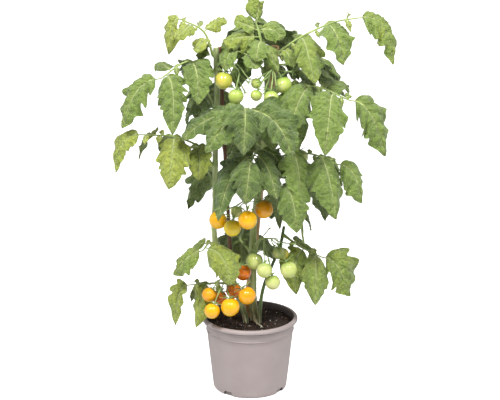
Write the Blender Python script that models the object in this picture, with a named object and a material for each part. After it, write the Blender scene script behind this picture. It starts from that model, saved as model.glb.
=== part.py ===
"""A cherry tomato plant in a nursery pot: three stems with compound leaves and
hanging fruit, a wooden stake and a thin cane, rooted in a pot of peat.

Every length here is in millimetres and becomes metres when an object is made.
The origin is the middle of the pot's underside. The front is -Y, up is +Z.
"""
import math

import bpy
import numpy as np

MM = 0.001
GAP = 0.4
UP = np.array((0.0, 0.0, 1.0))

# Pot: an injection-moulded nursery pot with a rolled rim and a notched foot.
POT_HEIGHT = 102.0
RIM_RADIUS = 65.0
FOOT_RADIUS = 50.5
COLLAR_RADIUS = 60.0
COLLAR_HEIGHT = 19.0
RIM_HEIGHT = 7.0
WALL = 1.3
FLOOR = 2.0
FOOT_ROUND = 4.5
POT_SIDES = 40
NOTCH_WIDTH = 18.0
NOTCH_HEIGHT = 7.0
NOTCH_ANGLES = (-126, -36, 54, 144)

# Peat
SOIL_DROP = 9.0
SOIL_SWELL = 0.7
SOIL_SIDES = 32

# Supports
STAKE_RADIUS = 5.2
STAKE = ((-10, 16, 45), (33, 15, 468))
CANE_RADIUS = 2.5
CANE = ((-20, 14, 45), (-40, 12, 467))

# Stems: points up the middle of each one, and its radius at the foot and at the top.
STEMS = {
    "stem_main": {
        "points": ((6, 2, 78), (6, 2, 98), (4, 1, 125), (4, 0, 160), (4, 0, 195), (5, 0, 230), (10, 0, 264),
                   (16, 0, 305), (20, 0, 359), (22, 0, 406), (21, 0, 445), (18, 0, 468)),
        "radii": (5.6, 2.6),
    },
    "stem_left": {
        "points": ((-6, -4, 78), (-6, -4, 98), (-14, -4, 124), (-27, -6, 165), (-43, -8, 197),
                   (-48, -8, 228), (-46, -5, 266), (-46, 0, 312), (-45, 0, 359), (-43, 0, 400),
                   (-43, 0, 432), (-44, 0, 468)),
        "radii": (3.7, 3.5),
    },
    "stem_shoot": {
        "points": ((13, -8, 78), (13, -8, 98), (15, -5, 127), (20, 0, 148), (30, 5, 172),
                   (41, 10, 199), (46, 14, 224)),
        "radii": (2.5, 1.9),
    },
}
STEM_SIDES = 8

# Leaves: the stem and the height that each one leaves it at, the points that its
# stalk passes through, the way its blades face (degrees, 0 front, 90 right), its end
# leaflet as (tip, width), and its side leaflets as (place along the stalk, tip, width).
LEAVES = {
    "leaf_crown": {
        "stem": "stem_main", "height": 458, "stalk": ((14, -9, 478), (8, -4, 500)), "faces": 0,
        "end": ((13, -8, 528), 28),
        "sides": ((0.80, (42, -16, 482), 30), (0.80, (-20, -14, 504), 22), (0.60, (-34, -22, 480), 32),
                  (0.45, (8, -40, 456), 30), (0.30, (-22, 16, 450), 28), (0.30, (36, -26, 440), 24)),
    },
    "leaf_top_front": {
        "stem": "stem_main", "height": 438, "stalk": ((4, -14, 456), (-14, -20, 466)), "faces": 0,
        "end": ((-32, -32, 443), 30),
        "sides": ((0.75, (-36, -6, 474), 26), (0.75, (8, -38, 446), 26), (0.25, (-34, 11, 412), 34)),
    },
    "leaf_top_left": {
        "stem": "stem_left", "height": 458, "stalk": ((-60, -6, 490), (-88, -12, 506)), "faces": -20,
        "end": ((-104, -20, 462), 32),
        "sides": ((0.35, (-68, -32, 466), 22), (0.75, (-94, -46, 486), 22), (0.50, (-34, 20, 504), 26),
                  (0.20, (-66, 14, 444), 28)),
    },
    "leaf_top_right": {
        "stem": "stem_main", "height": 452, "stalk": ((64, -8, 482), (106, -13, 502), (136, -15, 508)),
        "faces": 15, "end": ((183, -24, 450), 46),
        "sides": ((0.40, (82, -44, 428), 40), (0.70, (118, -46, 453), 40), (0.40, (76, 36, 466), 32),
                  (0.70, (132, 32, 476), 30), (0.18, (56, -20, 446), 22), (0.18, (64, 14, 424), 30)),
    },
    "leaf_left_upper": {
        "stem": "stem_left", "height": 438, "stalk": ((-80, -14, 452), (-114, -24, 432)), "faces": -15,
        "end": ((-163, -45, 371), 48),
        "sides": ((0.40, (-66, -46, 402), 36), (0.90, (-98, -62, 366), 40), (0.80, (-120, 14, 446), 22),
                  (0.40, (-72, 34, 404), 34), (0.20, (-48, 34, 424), 24)),
    },
    "leaf_left_middle": {
        "stem": "stem_left", "height": 312, "stalk": ((-66, -8, 338), (-98, -18, 354), (-138, -28, 359)),
        "faces": -10, "end": ((-174, -38, 312), 32),
        "sides": ((0.30, (-66, -50, 304), 34), (0.62, (-104, -62, 295), 46), (0.62, (-106, 26, 314), 34),
                  (0.85, (-148, 12, 318), 26), (0.30, (-66, 36, 308), 28)),
    },
    "leaf_front_upper": {
        "stem": "stem_main", "height": 388, "stalk": ((6, -34, 392), (-6, -74, 402)), "faces": 0,
        "end": ((-8, -100, 348), 50),
        "sides": ((0.38, (-86, -60, 358), 40), (0.80, (-54, -96, 350), 42), (0.80, (52, -100, 346), 48),
                  (0.38, (30, -48, 342), 36)),
    },
    "leaf_right_middle": {
        "stem": "stem_main", "height": 402, "stalk": ((48, -9, 417), (86, -18, 420), (128, -28, 404)),
        "faces": 10, "end": ((174, -44, 334), 52),
        "sides": ((0.52, (48, -66, 364), 46), (0.80, (95, -75, 342), 46), (0.68, (122, 28, 416), 38),
                  (0.40, (66, 40, 408), 30), (0.25, (58, -30, 330), 42)),
    },
    "leaf_right_lower": {
        "stem": "stem_main", "height": 308, "stalk": ((44, -14, 328), (80, -26, 333), (112, -36, 322)),
        "faces": 10, "end": ((144, -54, 274), 44),
        "sides": ((0.45, (64, -68, 286), 42), (0.80, (110, -80, 260), 50), (0.80, (114, 6, 286), 32)),
    },
    "leaf_front_middle": {
        "stem": "stem_main", "height": 333, "stalk": ((9, -36, 341), (2, -68, 332)), "faces": 0,
        "end": ((-6, -98, 284), 46),
        "sides": ((0.75, (-40, -88, 260), 38), (0.75, (34, -86, 288), 40), (0.35, (-34, -42, 314), 36),
                  (0.35, (46, -42, 304), 36)),
    },
    "leaf_front_lower": {
        "stem": "stem_main", "height": 284, "stalk": ((26, -26, 297), (42, -50, 295)), "faces": 10,
        "end": ((60, -80, 242), 44),
        "sides": ((0.50, (40, 0, 224), 32), (0.85, (72, -36, 214), 20)),
    },
    "leaf_low_right": {
        "stem": "stem_shoot", "height": 212, "stalk": ((68, -2, 200), (96, -14, 189)), "faces": 15,
        "end": ((132, -26, 138), 56),
        "sides": ((0.85, (86, -56, 136), 42), (0.55, (62, -24, 140), 36), (0.35, (90, 34, 156), 34)),
    },
    "leaf_low_left": {
        "stem": "stem_left", "height": 207, "stalk": ((-54, -24, 212), (-62, -40, 206)), "faces": -10,
        "end": ((-100, -48, 175), 36),
        "sides": ((0.80, (-26, -70, 168), 44), (0.50, (-88, -8, 176), 24)),
    },
    "leaf_over_rim": {
        "stem": "stem_left", "height": 150, "stalk": ((-44, -18, 154), (-80, -26, 154)), "faces": -10,
        "end": ((-100, -36, 101), 28),
        "sides": ((0.62, (-72, -42, 100), 34), (0.62, (-80, 12, 118), 26)),
    },
    "leaf_back_top": {
        "stem": "stem_main", "height": 458, "stalk": ((12, 34, 484), (8, 76, 490)), "faces": 180,
        "end": ((-4, 126, 438), 48),
        "sides": ((0.50, (-42, 62, 446), 38), (0.50, (60, 60, 450), 38), (0.82, (-40, 108, 444), 34),
                  (0.82, (52, 106, 440), 34), (0.28, (-18, 38, 406), 38), (0.28, (44, 42, 448), 30)),
    },
    "leaf_back_right": {
        "stem": "stem_main", "height": 424, "stalk": ((20, 38, 436), (80, 78, 438)), "faces": 150,
        "end": ((116, 124, 382), 48),
        "sides": ((0.60, (98, 36, 380), 36), (0.55, (36, 90, 392), 36), (0.82, (130, 78, 390), 30)),
    },
    "leaf_back_left": {
        "stem": "stem_left", "height": 388, "stalk": ((-58, 40, 404), (-66, 78, 402)), "faces": -150,
        "end": ((-76, 120, 350), 48),
        "sides": ((0.55, (-24, 74, 362), 36), (0.55, (-86, 48, 358), 36), (0.82, (-38, 112, 350), 32)),
    },
    "leaf_back_middle": {
        "stem": "stem_main", "height": 336, "stalk": ((2, 22, 348), (12, 84, 354)), "faces": 180,
        "end": ((8, 138, 296), 48),
        "sides": ((0.50, (-32, 78, 306), 36), (0.50, (68, 74, 304), 36), (0.82, (-34, 118, 298), 32),
                  (0.82, (62, 116, 296), 32)),
    },
    "leaf_back_left_low": {
        "stem": "stem_left", "height": 272, "stalk": ((-54, 36, 290), (-60, 68, 286)), "faces": -150,
        "end": ((-74, 108, 232), 46),
        "sides": ((0.55, (-28, 70, 246), 32), (0.55, (-84, 36, 242), 32)),
    },
    "leaf_back_right_low": {
        "stem": "stem_main", "height": 250, "stalk": ((26, 19, 262), (68, 62, 264)), "faces": 150,
        "end": ((106, 98, 208), 46),
        "sides": ((0.60, (84, 22, 216), 32), (0.60, (30, 80, 216), 32)),
    },
    "leaf_back_low": {
        "stem": "stem_main", "height": 192, "stalk": ((-13, 20, 204), (-8, 66, 206)), "faces": 180,
        "end": ((-14, 108, 150), 44),
        "sides": ((0.60, (-46, 66, 156), 32), (0.60, (36, 70, 158), 32), (0.30, (-12, 42, 140), 30)),
    },
}
STALK_RADII = (1.9, 0.9)
STALK_BRANCH = 1.1
BLADE_THICKNESS = 0.9
BLADE_FOLD = 22.0
BLADE_BOW = 0.10
BLADE_TURN = 18.0
BLADE_RISE = 0.75
# Width of a blade along its length, as parts of the whole.
BLADE_OUTLINE = ((0.11, 0.12), (0.26, 0.82), (0.46, 1.00), (0.68, 0.90), (0.87, 0.55), (1.00, 0.08))

# Trusses: the stem and height as for a leaf, the points of the stalk, and the fruit
# as (place along the stalk, centre, diameter). The last fruit hangs from its end.
TRUSSES = {
    "truss_top_left": {
        "stem": "stem_left", "height": 446, "stalk": ((-30, -18, 456), (-16, -26, 444)),
        "fruit": ((0.60, (-34, -28, 430), 23), (1.0, (-18, -37, 411), 20)),
    },
    "truss_top_right": {
        "stem": "stem_main", "height": 436, "stalk": ((32, -12, 445), (24, -28, 440)),
        "fruit": ((0.55, (43, -22, 423), 22), (0.80, (8, -22, 425), 14), (0.80, (27, -42, 410), 19),
                  (1.0, (8, -36, 412), 15)),
    },
    "truss_right": {
        "stem": "stem_main", "height": 322, "stalk": ((34, -7, 334), (54, 4, 338)),
        "fruit": ((0.70, (54, -4, 308), 14), (1.0, (68, 18, 319), 20)),
    },
    "truss_middle": {
        "stem": "stem_main", "height": 262, "stalk": ((8, -22, 276), (-4, -40, 276), (-20, -42, 266)),
        "fruit": ((0.30, (-18, -22, 254), 16), (0.55, (18, -46, 264), 25), (0.75, (-3, -62, 254), 25),
                  (0.88, (-42, -34, 246), 24), (1.0, (-23, -50, 240), 23)),
    },
    "truss_low_right": {
        "stem": "stem_main", "height": 204, "stalk": ((16, -22, 217), (34, -32, 220)),
        "fruit": ((0.40, (6, -28, 188), 23), (0.60, (19, -49, 182), 21), (0.60, (30, -45, 164), 20),
                  (0.85, (44, -12, 193), 16), (0.85, (51, -44, 181), 23), (1.0, (38, -27, 199), 17)),
    },
    "truss_low_left": {
        "stem": "stem_left", "height": 180, "stalk": ((-26, -22, 186), (-24, -36, 174), (-30, -42, 160)),
        "fruit": ((0.30, (-9, -22, 170), 22), (0.55, (-41, -20, 134), 20), (0.70, (-22, -26, 146), 21),
                  (0.70, (-54, -43, 146), 20), (0.88, (-4, -50, 147), 24), (0.88, (-50, -56, 128), 21),
                  (1.0, (-26, -55, 133), 25)),
    },
}
PEDUNCLE_RADII = (1.5, 0.9)
PEDICEL_RADIUS = 0.8
KNUCKLE_RADIUS = 1.3
FRUIT_SIDES = 10
FRUIT_RINGS = 7
FRUIT_DIMPLE = 0.07

# Looks: colour (linear), roughness
LOOKS = {
    "pot": ((0.42, 0.36, 0.34), 0.50),
    "soil": ((0.016, 0.011, 0.008), 0.95),
    "stake": ((0.58, 0.45, 0.29), 0.70),
    "cane": ((0.24, 0.11, 0.06), 0.60),
    "stem": ((0.20, 0.27, 0.08), 0.60),
    "leaf": ((0.11, 0.22, 0.055), 0.60),
    "ripe": ((0.82, 0.46, 0.02), 0.15),
    "unripe": ((0.35, 0.47, 0.08), 0.20),
}
UNRIPE_TRUSSES = ("truss_top_left", "truss_top_right", "truss_right", "truss_low_right")


def unit(vector):
    return vector / np.linalg.norm(vector)


class SmoothCurve:
    """A smooth curve through the given points, read by its share of the length."""

    def __init__(self, points, steps=12):
        points = np.asarray(points, float)
        ends = np.vstack((2 * points[0] - points[1], points, 2 * points[-1] - points[-2]))
        samples = [points[0]]
        for before, start, end, after in zip(ends, ends[1:], ends[2:], ends[3:]):
            for step in range(1, steps + 1):
                share = step / steps
                bend = (2 * before - 5 * start + 4 * end - after) * share ** 2
                twist = (3 * start - before - 3 * end + after) * share ** 3
                samples.append(0.5 * (2 * start + (end - before) * share + bend + twist))
        self.samples = np.array(samples)
        lengths = np.linalg.norm(np.diff(self.samples, axis=0), axis=1)
        self.length = lengths.sum()
        self.shares = np.concatenate(((0.0,), np.cumsum(lengths))) / self.length
        self.knots = self.shares[::steps]

    def at(self, share):
        return np.array([np.interp(share, self.shares, self.samples[:, axis]) for axis in range(3)])

    def direction(self, share):
        return unit(self.at(min(share + 0.01, 1.0)) - self.at(max(share - 0.01, 0.0)))

    def share_at_height(self, height):
        return float(np.interp(height, self.samples[:, 2], self.shares))


class Growth:
    """A closed body grown by extruding rings of four corners.

    Every ring is listed anticlockwise as seen from ahead: left bottom, left top,
    right top, right bottom, or left, top, right, bottom where the ring is a blade's.
    """

    def __init__(self):
        self.points = []
        self.faces = []

    def ring(self, corners):
        first = len(self.points)
        self.points.extend(corners)
        return list(range(first, first + len(corners)))

    def join(self, behind, ahead, open_sides=()):
        for side in range(4):
            following = (side + 1) % 4
            if side not in open_sides:
                self.faces.append((behind[side], behind[following], ahead[following], ahead[side]))

    def square(self, centre, right, normal, half):
        across = right * half
        rise = normal * half
        return self.ring((centre - across - rise, centre - across + rise,
                          centre + across + rise, centre + across - rise))

    def aligned(self, loop, corners):
        """The loop turned so that its corners lie nearest to the given ones."""
        turns = [loop[turn:] + loop[:turn] for turn in range(4)]
        return min(turns, key=lambda turn: sum(
            np.linalg.norm(self.points[index] - corner) for index, corner in zip(turn, corners)))

    def grow_axis(self, curve, first_direction, lean, radii, branches):
        """Extrudes a stalk along a curve. Returns its last ring, and the open loop left for each branch."""
        half_share = STALK_BRANCH / curve.length
        shares = {0.0, 1.0}
        places = sorted({min(share, 1.0 - 2.5 * half_share) for share, _ in branches})
        for place in places:
            shares.update((place - half_share, place + half_share))
        for before, after in zip(sorted(shares), sorted(shares)[1:]):
            if after - before > 0.3:
                shares.add((before + after) / 2)
        shares = sorted(shares)
        loops = {}
        behind = None
        for share in shares:
            centre = curve.at(share)
            along = first_direction if share == 0.0 else curve.direction(share)
            normal = unit(lean - along * lean.dot(along))
            right = np.cross(along, normal)
            half = radii[0] + (radii[1] - radii[0]) * share
            ahead = self.square(centre, right, normal, half)
            if behind is None:
                self.faces.append(tuple(reversed(ahead)))
            else:
                open_sides = []
                middle = (share + shares[shares.index(share) - 1]) / 2
                for number, (place, tip) in enumerate(branches):
                    if abs(min(place, 1.0 - 2.5 * half_share) - middle) < half_share / 2:
                        side = 2 if (tip - centre).dot(right) > 0 else 0
                        if side in open_sides:
                            side = 2 - side
                        following = (side + 1) % 4
                        open_sides.append(side)
                        loops[number] = [behind[side], behind[following], ahead[following], ahead[side]]
                self.join(behind, ahead, open_sides)
            behind = ahead
        return behind, [loops[number] for number in range(len(branches))]

    def grow_blade(self, loop, direction, tip, width, facing):
        """Extrudes a leaflet from an open loop to its tip: a short stalk, then a folded blade."""
        start = np.mean([self.points[index] for index in loop], axis=0)
        reach = tip - start
        span = np.linalg.norm(reach)
        level = np.array((reach[0], reach[1], 0.0))
        control = start + 0.35 * span * unit(direction) * 0.5 + 0.5 * level
        control = control + UP * (BLADE_BOW * span + 0.5 * max(reach[2], 0.0))
        fold = math.radians(BLADE_FOLD)
        outline = ((0.06, 0.0),) + BLADE_OUTLINE
        headings = [unit((1 - share) * (control - start) + share * (tip - control)) for share, _ in outline]
        normals = [facing]
        for along in reversed(headings):
            normals.insert(0, unit(normals[0] - along * normals[0].dot(along)))
        behind = loop
        for (share, part_width), along, normal in zip(outline, headings, normals):
            centre = (1 - share) ** 2 * start + 2 * share * (1 - share) * control + share ** 2 * tip
            right = np.cross(along, normal)
            half = max(part_width * width / 2, 0.8)
            edge = right * half * math.cos(fold)
            drop = normal * half * math.sin(fold)
            rise = normal * BLADE_THICKNESS / 2
            corners = (centre - edge - drop, centre + rise, centre + edge - drop, centre - rise)
            if behind is loop:
                behind = self.aligned(loop, corners)
            ahead = self.ring(corners)
            self.join(behind, ahead)
            behind = ahead
        self.faces.append(tuple(behind))

    def grow_pedicel(self, loop, direction, fruit):
        """Extrudes a fruit's own stalk from an open loop to just above its dimple."""
        start = np.mean([self.points[index] for index in loop], axis=0)
        end = fruit["centre"] + fruit["axis"] * (fruit["radius"] * (1 - FRUIT_DIMPLE) + GAP)
        span = np.linalg.norm(end - start)
        away = start + unit(direction) * span * 0.3
        above = end + fruit["axis"] * span * 0.35
        behind = loop
        normal = fruit["lean"]
        for share, half in ((0.15, PEDICEL_RADIUS), (0.50, PEDICEL_RADIUS), (0.62, KNUCKLE_RADIUS),
                            (0.74, PEDICEL_RADIUS), (1.0, PEDICEL_RADIUS)):
            centre, along = cubic(start, away, above, end, share)
            normal = unit(normal - along * normal.dot(along))
            right = np.cross(along, normal)
            ahead = self.square(centre, right, normal, half)
            if behind is loop:
                behind = self.aligned(loop, [self.points[index] for index in ahead])
            self.join(behind, ahead)
            behind = ahead
        self.faces.append(tuple(behind))


def cubic(start, first, second, end, share):
    """A point of a cubic curve, and the way that the curve runs there."""
    rest = 1 - share
    point = (rest ** 3 * start + 3 * rest ** 2 * share * first
             + 3 * rest * share ** 2 * second + share ** 3 * end)
    along = rest ** 2 * (first - start) + 2 * rest * share * (second - first) + share ** 2 * (end - second)
    return point, unit(along)


def material(name, look):
    colour, roughness = LOOKS[look]
    surface = bpy.data.materials.new(name)
    surface.use_nodes = True
    shader = surface.node_tree.nodes["Principled BSDF"]
    shader.inputs["Base Color"].default_value = (*colour, 1.0)
    shader.inputs["Roughness"].default_value = roughness
    shader.inputs["Metallic"].default_value = 0.0
    return surface


def add_object(name, points, faces, look, smooth_angle=40):
    mesh = bpy.data.meshes.new(name)
    mesh.from_pydata([tuple(np.asarray(point) * MM) for point in points], [], faces)
    mesh.shade_smooth()
    mesh.set_sharp_from_angle(angle=math.radians(smooth_angle))
    mesh.materials.append(material(name, look))
    piece = bpy.data.objects.new(name, mesh)
    bpy.context.scene.collection.objects.link(piece)
    return piece


def turned(profile, sides):
    """Points and faces of a profile turned about Z. It runs from the axis, out, up and back to the axis."""
    points = []
    rings = []
    for radius, height in profile:
        if radius == 0:
            rings.append([len(points)])
            points.append((0.0, 0.0, height))
            continue
        rings.append(list(range(len(points), len(points) + sides)))
        for side in range(sides):
            angle = 2 * math.pi * side / sides
            points.append((radius * math.cos(angle), radius * math.sin(angle), height))
    faces = []
    for lower, upper in zip(rings, rings[1:]):
        for side in range(sides):
            following = (side + 1) % sides
            if len(lower) == 1:
                faces.append((lower[0], upper[following], upper[side]))
            elif len(upper) == 1:
                faces.append((lower[side], lower[following], upper[0]))
            else:
                faces.append((lower[side], lower[following], upper[following], upper[side]))
    return points, faces


def tube(curve, shares, radii, sides):
    """Points and faces of a round tube along a curve, closed at both ends."""
    points = []
    faces = []
    across = np.array((1.0, 0.0, 0.0))
    for share, radius in zip(shares, radii):
        along = curve.direction(share)
        across = unit(across - along * across.dot(along))
        beside = np.cross(along, across)
        for side in range(sides):
            angle = 2 * math.pi * side / sides
            points.append(curve.at(share) + radius * (across * math.cos(angle) + beside * math.sin(angle)))
    for ring in range(len(shares) - 1):
        for side in range(sides):
            following = (side + 1) % sides
            low = ring * sides
            high = low + sides
            faces.append((low + side, low + following, high + following, high + side))
    faces.append(tuple(reversed(range(sides))))
    faces.append(tuple(range(len(points) - sides, len(points))))
    return points, faces


def cut(piece, cutter):
    cutter.hide_render = True
    cutter.display_type = "WIRE"
    boolean = piece.modifiers.new(cutter.name, "BOOLEAN")
    boolean.operation = "DIFFERENCE"
    boolean.solver = "EXACT"
    boolean.object = cutter


def arc(centre, radius, start, end, steps):
    """Points of an arc in (radius, height), from one angle to another in degrees."""
    angles = np.radians(np.linspace(start, end, steps))
    return [(centre[0] + radius * math.cos(angle), centre[1] + radius * math.sin(angle)) for angle in angles]


def pot_profile():
    """The pot's section, from the middle of its underside, up the outside and down the inside."""
    collar_low = POT_HEIGHT - COLLAR_HEIGHT
    rim_low = POT_HEIGHT - RIM_HEIGHT
    rim_round = RIM_HEIGHT / 2
    foot_centre = (FOOT_RADIUS - FOOT_ROUND, FOOT_ROUND)
    outside = [(0, 0)]
    outside += arc(foot_centre, FOOT_ROUND, -90, 0, 4)
    above_notches = NOTCH_HEIGHT + 3.0
    taper = (COLLAR_RADIUS - 1.0 - FOOT_RADIUS) / (collar_low - FOOT_ROUND)
    outside += [(FOOT_RADIUS + taper * (above_notches - FOOT_ROUND), above_notches)]
    outside += [(COLLAR_RADIUS - 1.0, collar_low), (COLLAR_RADIUS, collar_low + 1.0)]
    outside += [(COLLAR_RADIUS + 0.6, rim_low)]
    outside += arc((RIM_RADIUS - rim_round, rim_low + rim_round), rim_round, -60, 100, 7)
    inside = [(COLLAR_RADIUS - WALL + 1.2, POT_HEIGHT - 1.6), (COLLAR_RADIUS - WALL + 0.6, rim_low),
              (COLLAR_RADIUS - WALL, collar_low + 1.0), (COLLAR_RADIUS - WALL - 1.0, collar_low),
              (FOOT_RADIUS - WALL + taper * (above_notches - FOOT_ROUND), above_notches)]
    inside += arc(foot_centre, FOOT_ROUND - WALL, 0, -60, 3)
    inside += [(foot_centre[0] - 2, FLOOR), (0, FLOOR)]
    return outside + inside


def make_pot():
    pot = add_object("pot", *turned(pot_profile(), POT_SIDES), "pot")
    for number, angle in enumerate(NOTCH_ANGLES):
        half_low = NOTCH_WIDTH / 2
        half_high = half_low - 3.0
        outline = ((-half_low, -2.0), (half_low, -2.0), (half_high, NOTCH_HEIGHT), (-half_high, NOTCH_HEIGHT))
        turn = math.radians(angle - 90)
        outward = np.array((math.cos(turn), math.sin(turn), 0.0))
        sideways = np.array((-math.sin(turn), math.cos(turn), 0.0))
        points = [outward * reach + sideways * side + UP * height
                  for reach in (FOOT_RADIUS - 7.0, FOOT_RADIUS + 7.0) for side, height in outline]
        faces = [(3, 2, 1, 0), (4, 5, 6, 7)]
        faces += [(side, (side + 1) % 4, (side + 1) % 4 + 4, side + 4) for side in range(4)]
        cut(pot, add_object(f"notch_cutter_{number + 1}", points, faces, "pot"))


def soil_height(x, y):
    """Height of the peat's surface: gentle lumps about a level just under the rim."""
    lumps = math.sin(x / 9.0 + 1.0) * math.cos(y / 11.0) + 0.6 * math.sin((x + y) / 6.0)
    return POT_HEIGHT - SOIL_DROP + SOIL_SWELL * lumps


def make_soil(rods):
    collar_low = POT_HEIGHT - COLLAR_HEIGHT
    wall_top = COLLAR_RADIUS - WALL - GAP
    low = FLOOR + GAP
    profile = [(0, low), (FOOT_RADIUS - FOOT_ROUND - 2, low),
               (FOOT_RADIUS - WALL - GAP - 0.4, FOOT_ROUND + 1.0),
               (wall_top - 1.0, collar_low), (wall_top, collar_low + 1.5), (wall_top, POT_HEIGHT - SOIL_DROP)]
    profile += [(wall_top * share, POT_HEIGHT - SOIL_DROP) for share in (0.82, 0.62, 0.42, 0.22)]
    profile += [(0, POT_HEIGHT - SOIL_DROP)]
    points, faces = turned(profile, SOIL_SIDES)
    points = [(x, y, soil_height(x, y)) if z > collar_low + 2 else (x, y, z) for x, y, z in points]
    soil = add_object("soil", points, faces, "soil", smooth_angle=60)
    for number, (points, radius) in enumerate(rods):
        foot, *rest = np.asarray(points, float)
        curve = SmoothCurve((foot - UP * GAP, *rest))
        shares = curve.knots[:3]
        hole = tube(curve, shares, [radius + 1.5 * GAP] * len(shares), 12)
        cut(soil, add_object(f"hole_cutter_{number + 1}", *hole, "soil"))


def make_supports():
    rods = (("wooden_stake", "stake", STAKE, STAKE_RADIUS, 16), ("cane", "cane", CANE, CANE_RADIUS, 10))
    for name, look, ends, radius, sides in rods:
        add_object(name, *tube(SmoothCurve(ends), (0.0, 1.0), (radius, radius), sides), look, smooth_angle=60)


def make_stems():
    curves = {}
    for name, stem in STEMS.items():
        curve = SmoothCurve(stem["points"])
        radii = [stem_radius(name, share) for share in curve.knots]
        add_object(name, *tube(curve, curve.knots, radii, STEM_SIDES), "stem", smooth_angle=60)
        curves[name] = curve
    return curves


def stem_radius(name, share):
    foot, top = STEMS[name]["radii"]
    return foot + (top - foot) * share


def stalk_start(curves, stem, height, towards):
    """Where a stalk meets its stem, and the way it leaves: square to the stem, a gap off its surface."""
    share = curves[stem].share_at_height(height)
    centre = curves[stem].at(share)
    along = curves[stem].direction(share)
    outward = np.asarray(towards, float) - centre
    outward = unit(outward - along * outward.dot(along))
    return centre + outward * (stem_radius(stem, share) + 1.5 * GAP), outward


def level_direction(angle):
    """A level direction, from its angle off the front in degrees."""
    turn = math.radians(angle)
    return np.array((math.sin(turn), -math.cos(turn), 0.0))


def blade_facing(angle, reach):
    """The way a blade's upper side looks: up, and out between its leaf's facing and its own reach."""
    faces = level_direction(angle)
    outward = unit(np.array((reach[0], reach[1], 0.0)))
    share = 1.0 + faces.dot(outward)
    return unit(share * faces + outward) + BLADE_RISE * UP


def make_leaf(name, leaf, curves):
    start, outward = stalk_start(curves, leaf["stem"], leaf["height"], leaf["stalk"][0])
    curve = SmoothCurve([start, *leaf["stalk"]])
    lean = UP + 0.6 * level_direction(leaf["faces"])
    growth = Growth()
    branches = [(share, np.array(tip, float)) for share, tip, _ in leaf["sides"]]
    last, loops = growth.grow_axis(curve, outward, lean, STALK_RADII, branches)
    for number, (share, tip, width) in enumerate((*leaf["sides"], (1.0, *leaf["end"]))):
        tip = np.array(tip, float)
        sway = BLADE_TURN * math.sin(2.4 * number + leaf["height"])
        facing = blade_facing(leaf["faces"] + sway, tip - curve.at(share))
        if number < len(loops):
            side_direction = tip - curve.at(share)
            along = curve.direction(share)
            side_direction = side_direction - along * side_direction.dot(along)
            growth.grow_blade(loops[number], side_direction, tip, width, facing)
        else:
            growth.grow_blade(last, curve.direction(1.0), tip, width, facing)
    add_object(name, growth.points, growth.faces, "leaf", smooth_angle=50)


def make_truss(name, truss, curves):
    look = "unripe" if name in UNRIPE_TRUSSES else "ripe"
    start, outward = stalk_start(curves, truss["stem"], truss["height"], truss["stalk"][0])
    curve = SmoothCurve([start, *truss["stalk"]])
    heading = curve.at(1.0) - start
    lean = UP - 0.5 * unit(np.array((heading[0], heading[1], 0.0)))
    growth = Growth()
    fruits = [hang_fruit(curve, share, centre, diameter, lean) for share, centre, diameter in truss["fruit"]]
    branches = [(share, fruit["centre"]) for (share, _, _), fruit in zip(truss["fruit"][:-1], fruits)]
    last, loops = growth.grow_axis(curve, outward, lean, PEDUNCLE_RADII, branches)
    for (share, _, _), fruit, loop in zip(truss["fruit"], fruits, [*loops, last]):
        along = curve.direction(share)
        direction = along
        if loop is not last:
            sideways = fruit["centre"] - curve.at(share)
            direction = sideways - along * sideways.dot(along)
        growth.grow_pedicel(loop, direction, fruit)
    add_object(name, growth.points, growth.faces, "stem", smooth_angle=50)
    for number, fruit in enumerate(fruits):
        make_fruit(f"{name.replace('truss', 'tomato')}_{number + 1}", fruit, look)


def hang_fruit(curve, share, centre, diameter, lean):
    """A fruit's centre, radius and axis: the axis leans from upright towards where it hangs from."""
    centre = np.array(centre, float)
    axis = unit(unit(curve.at(share) - centre) + 0.6 * UP)
    return {"centre": centre, "radius": diameter / 2, "axis": axis, "lean": lean}


def make_fruit(name, fruit, look):
    radius = fruit["radius"]
    profile = [(0, -radius * 0.97)]
    for ring in range(1, FRUIT_RINGS):
        angle = math.pi * (ring / FRUIT_RINGS - 0.5)
        profile.append((radius * math.cos(angle), radius * math.sin(angle) * 0.97))
    profile += [(0, radius * (1 - FRUIT_DIMPLE))]
    points, faces = turned(profile, FRUIT_SIDES)
    across = unit(np.cross(fruit["axis"], (0.0, 1.0, 0.2)))
    beside = np.cross(fruit["axis"], across)
    points = [fruit["centre"] + across * x + beside * y + fruit["axis"] * z for x, y, z in points]
    add_object(name, points, faces, look, smooth_angle=80)


def clear_scene():
    for item in list(bpy.data.objects):
        bpy.data.objects.remove(item)


def main():
    clear_scene()
    make_pot()
    rods = [(STAKE, STAKE_RADIUS), (CANE, CANE_RADIUS)]
    rods += [(stem["points"], stem["radii"][0]) for stem in STEMS.values()]
    make_soil(rods)
    make_supports()
    curves = make_stems()
    for name, leaf in LEAVES.items():
        make_leaf(name, leaf, curves)
    for name, truss in TRUSSES.items():
        make_truss(name, truss, curves)


main()
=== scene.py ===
"""Finished looks of the cherry tomato plant in its nursery pot.

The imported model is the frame. Lengths are in millimetres, and become metres when a mesh
is made. The front is -Y and up is +Z. The stems, leaf stalks and fruit stalks follow the
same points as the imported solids, so that each finished piece stands where its solid does.
"""
import math

import bpy
import numpy as np
from mathutils import Matrix, Vector


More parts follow.
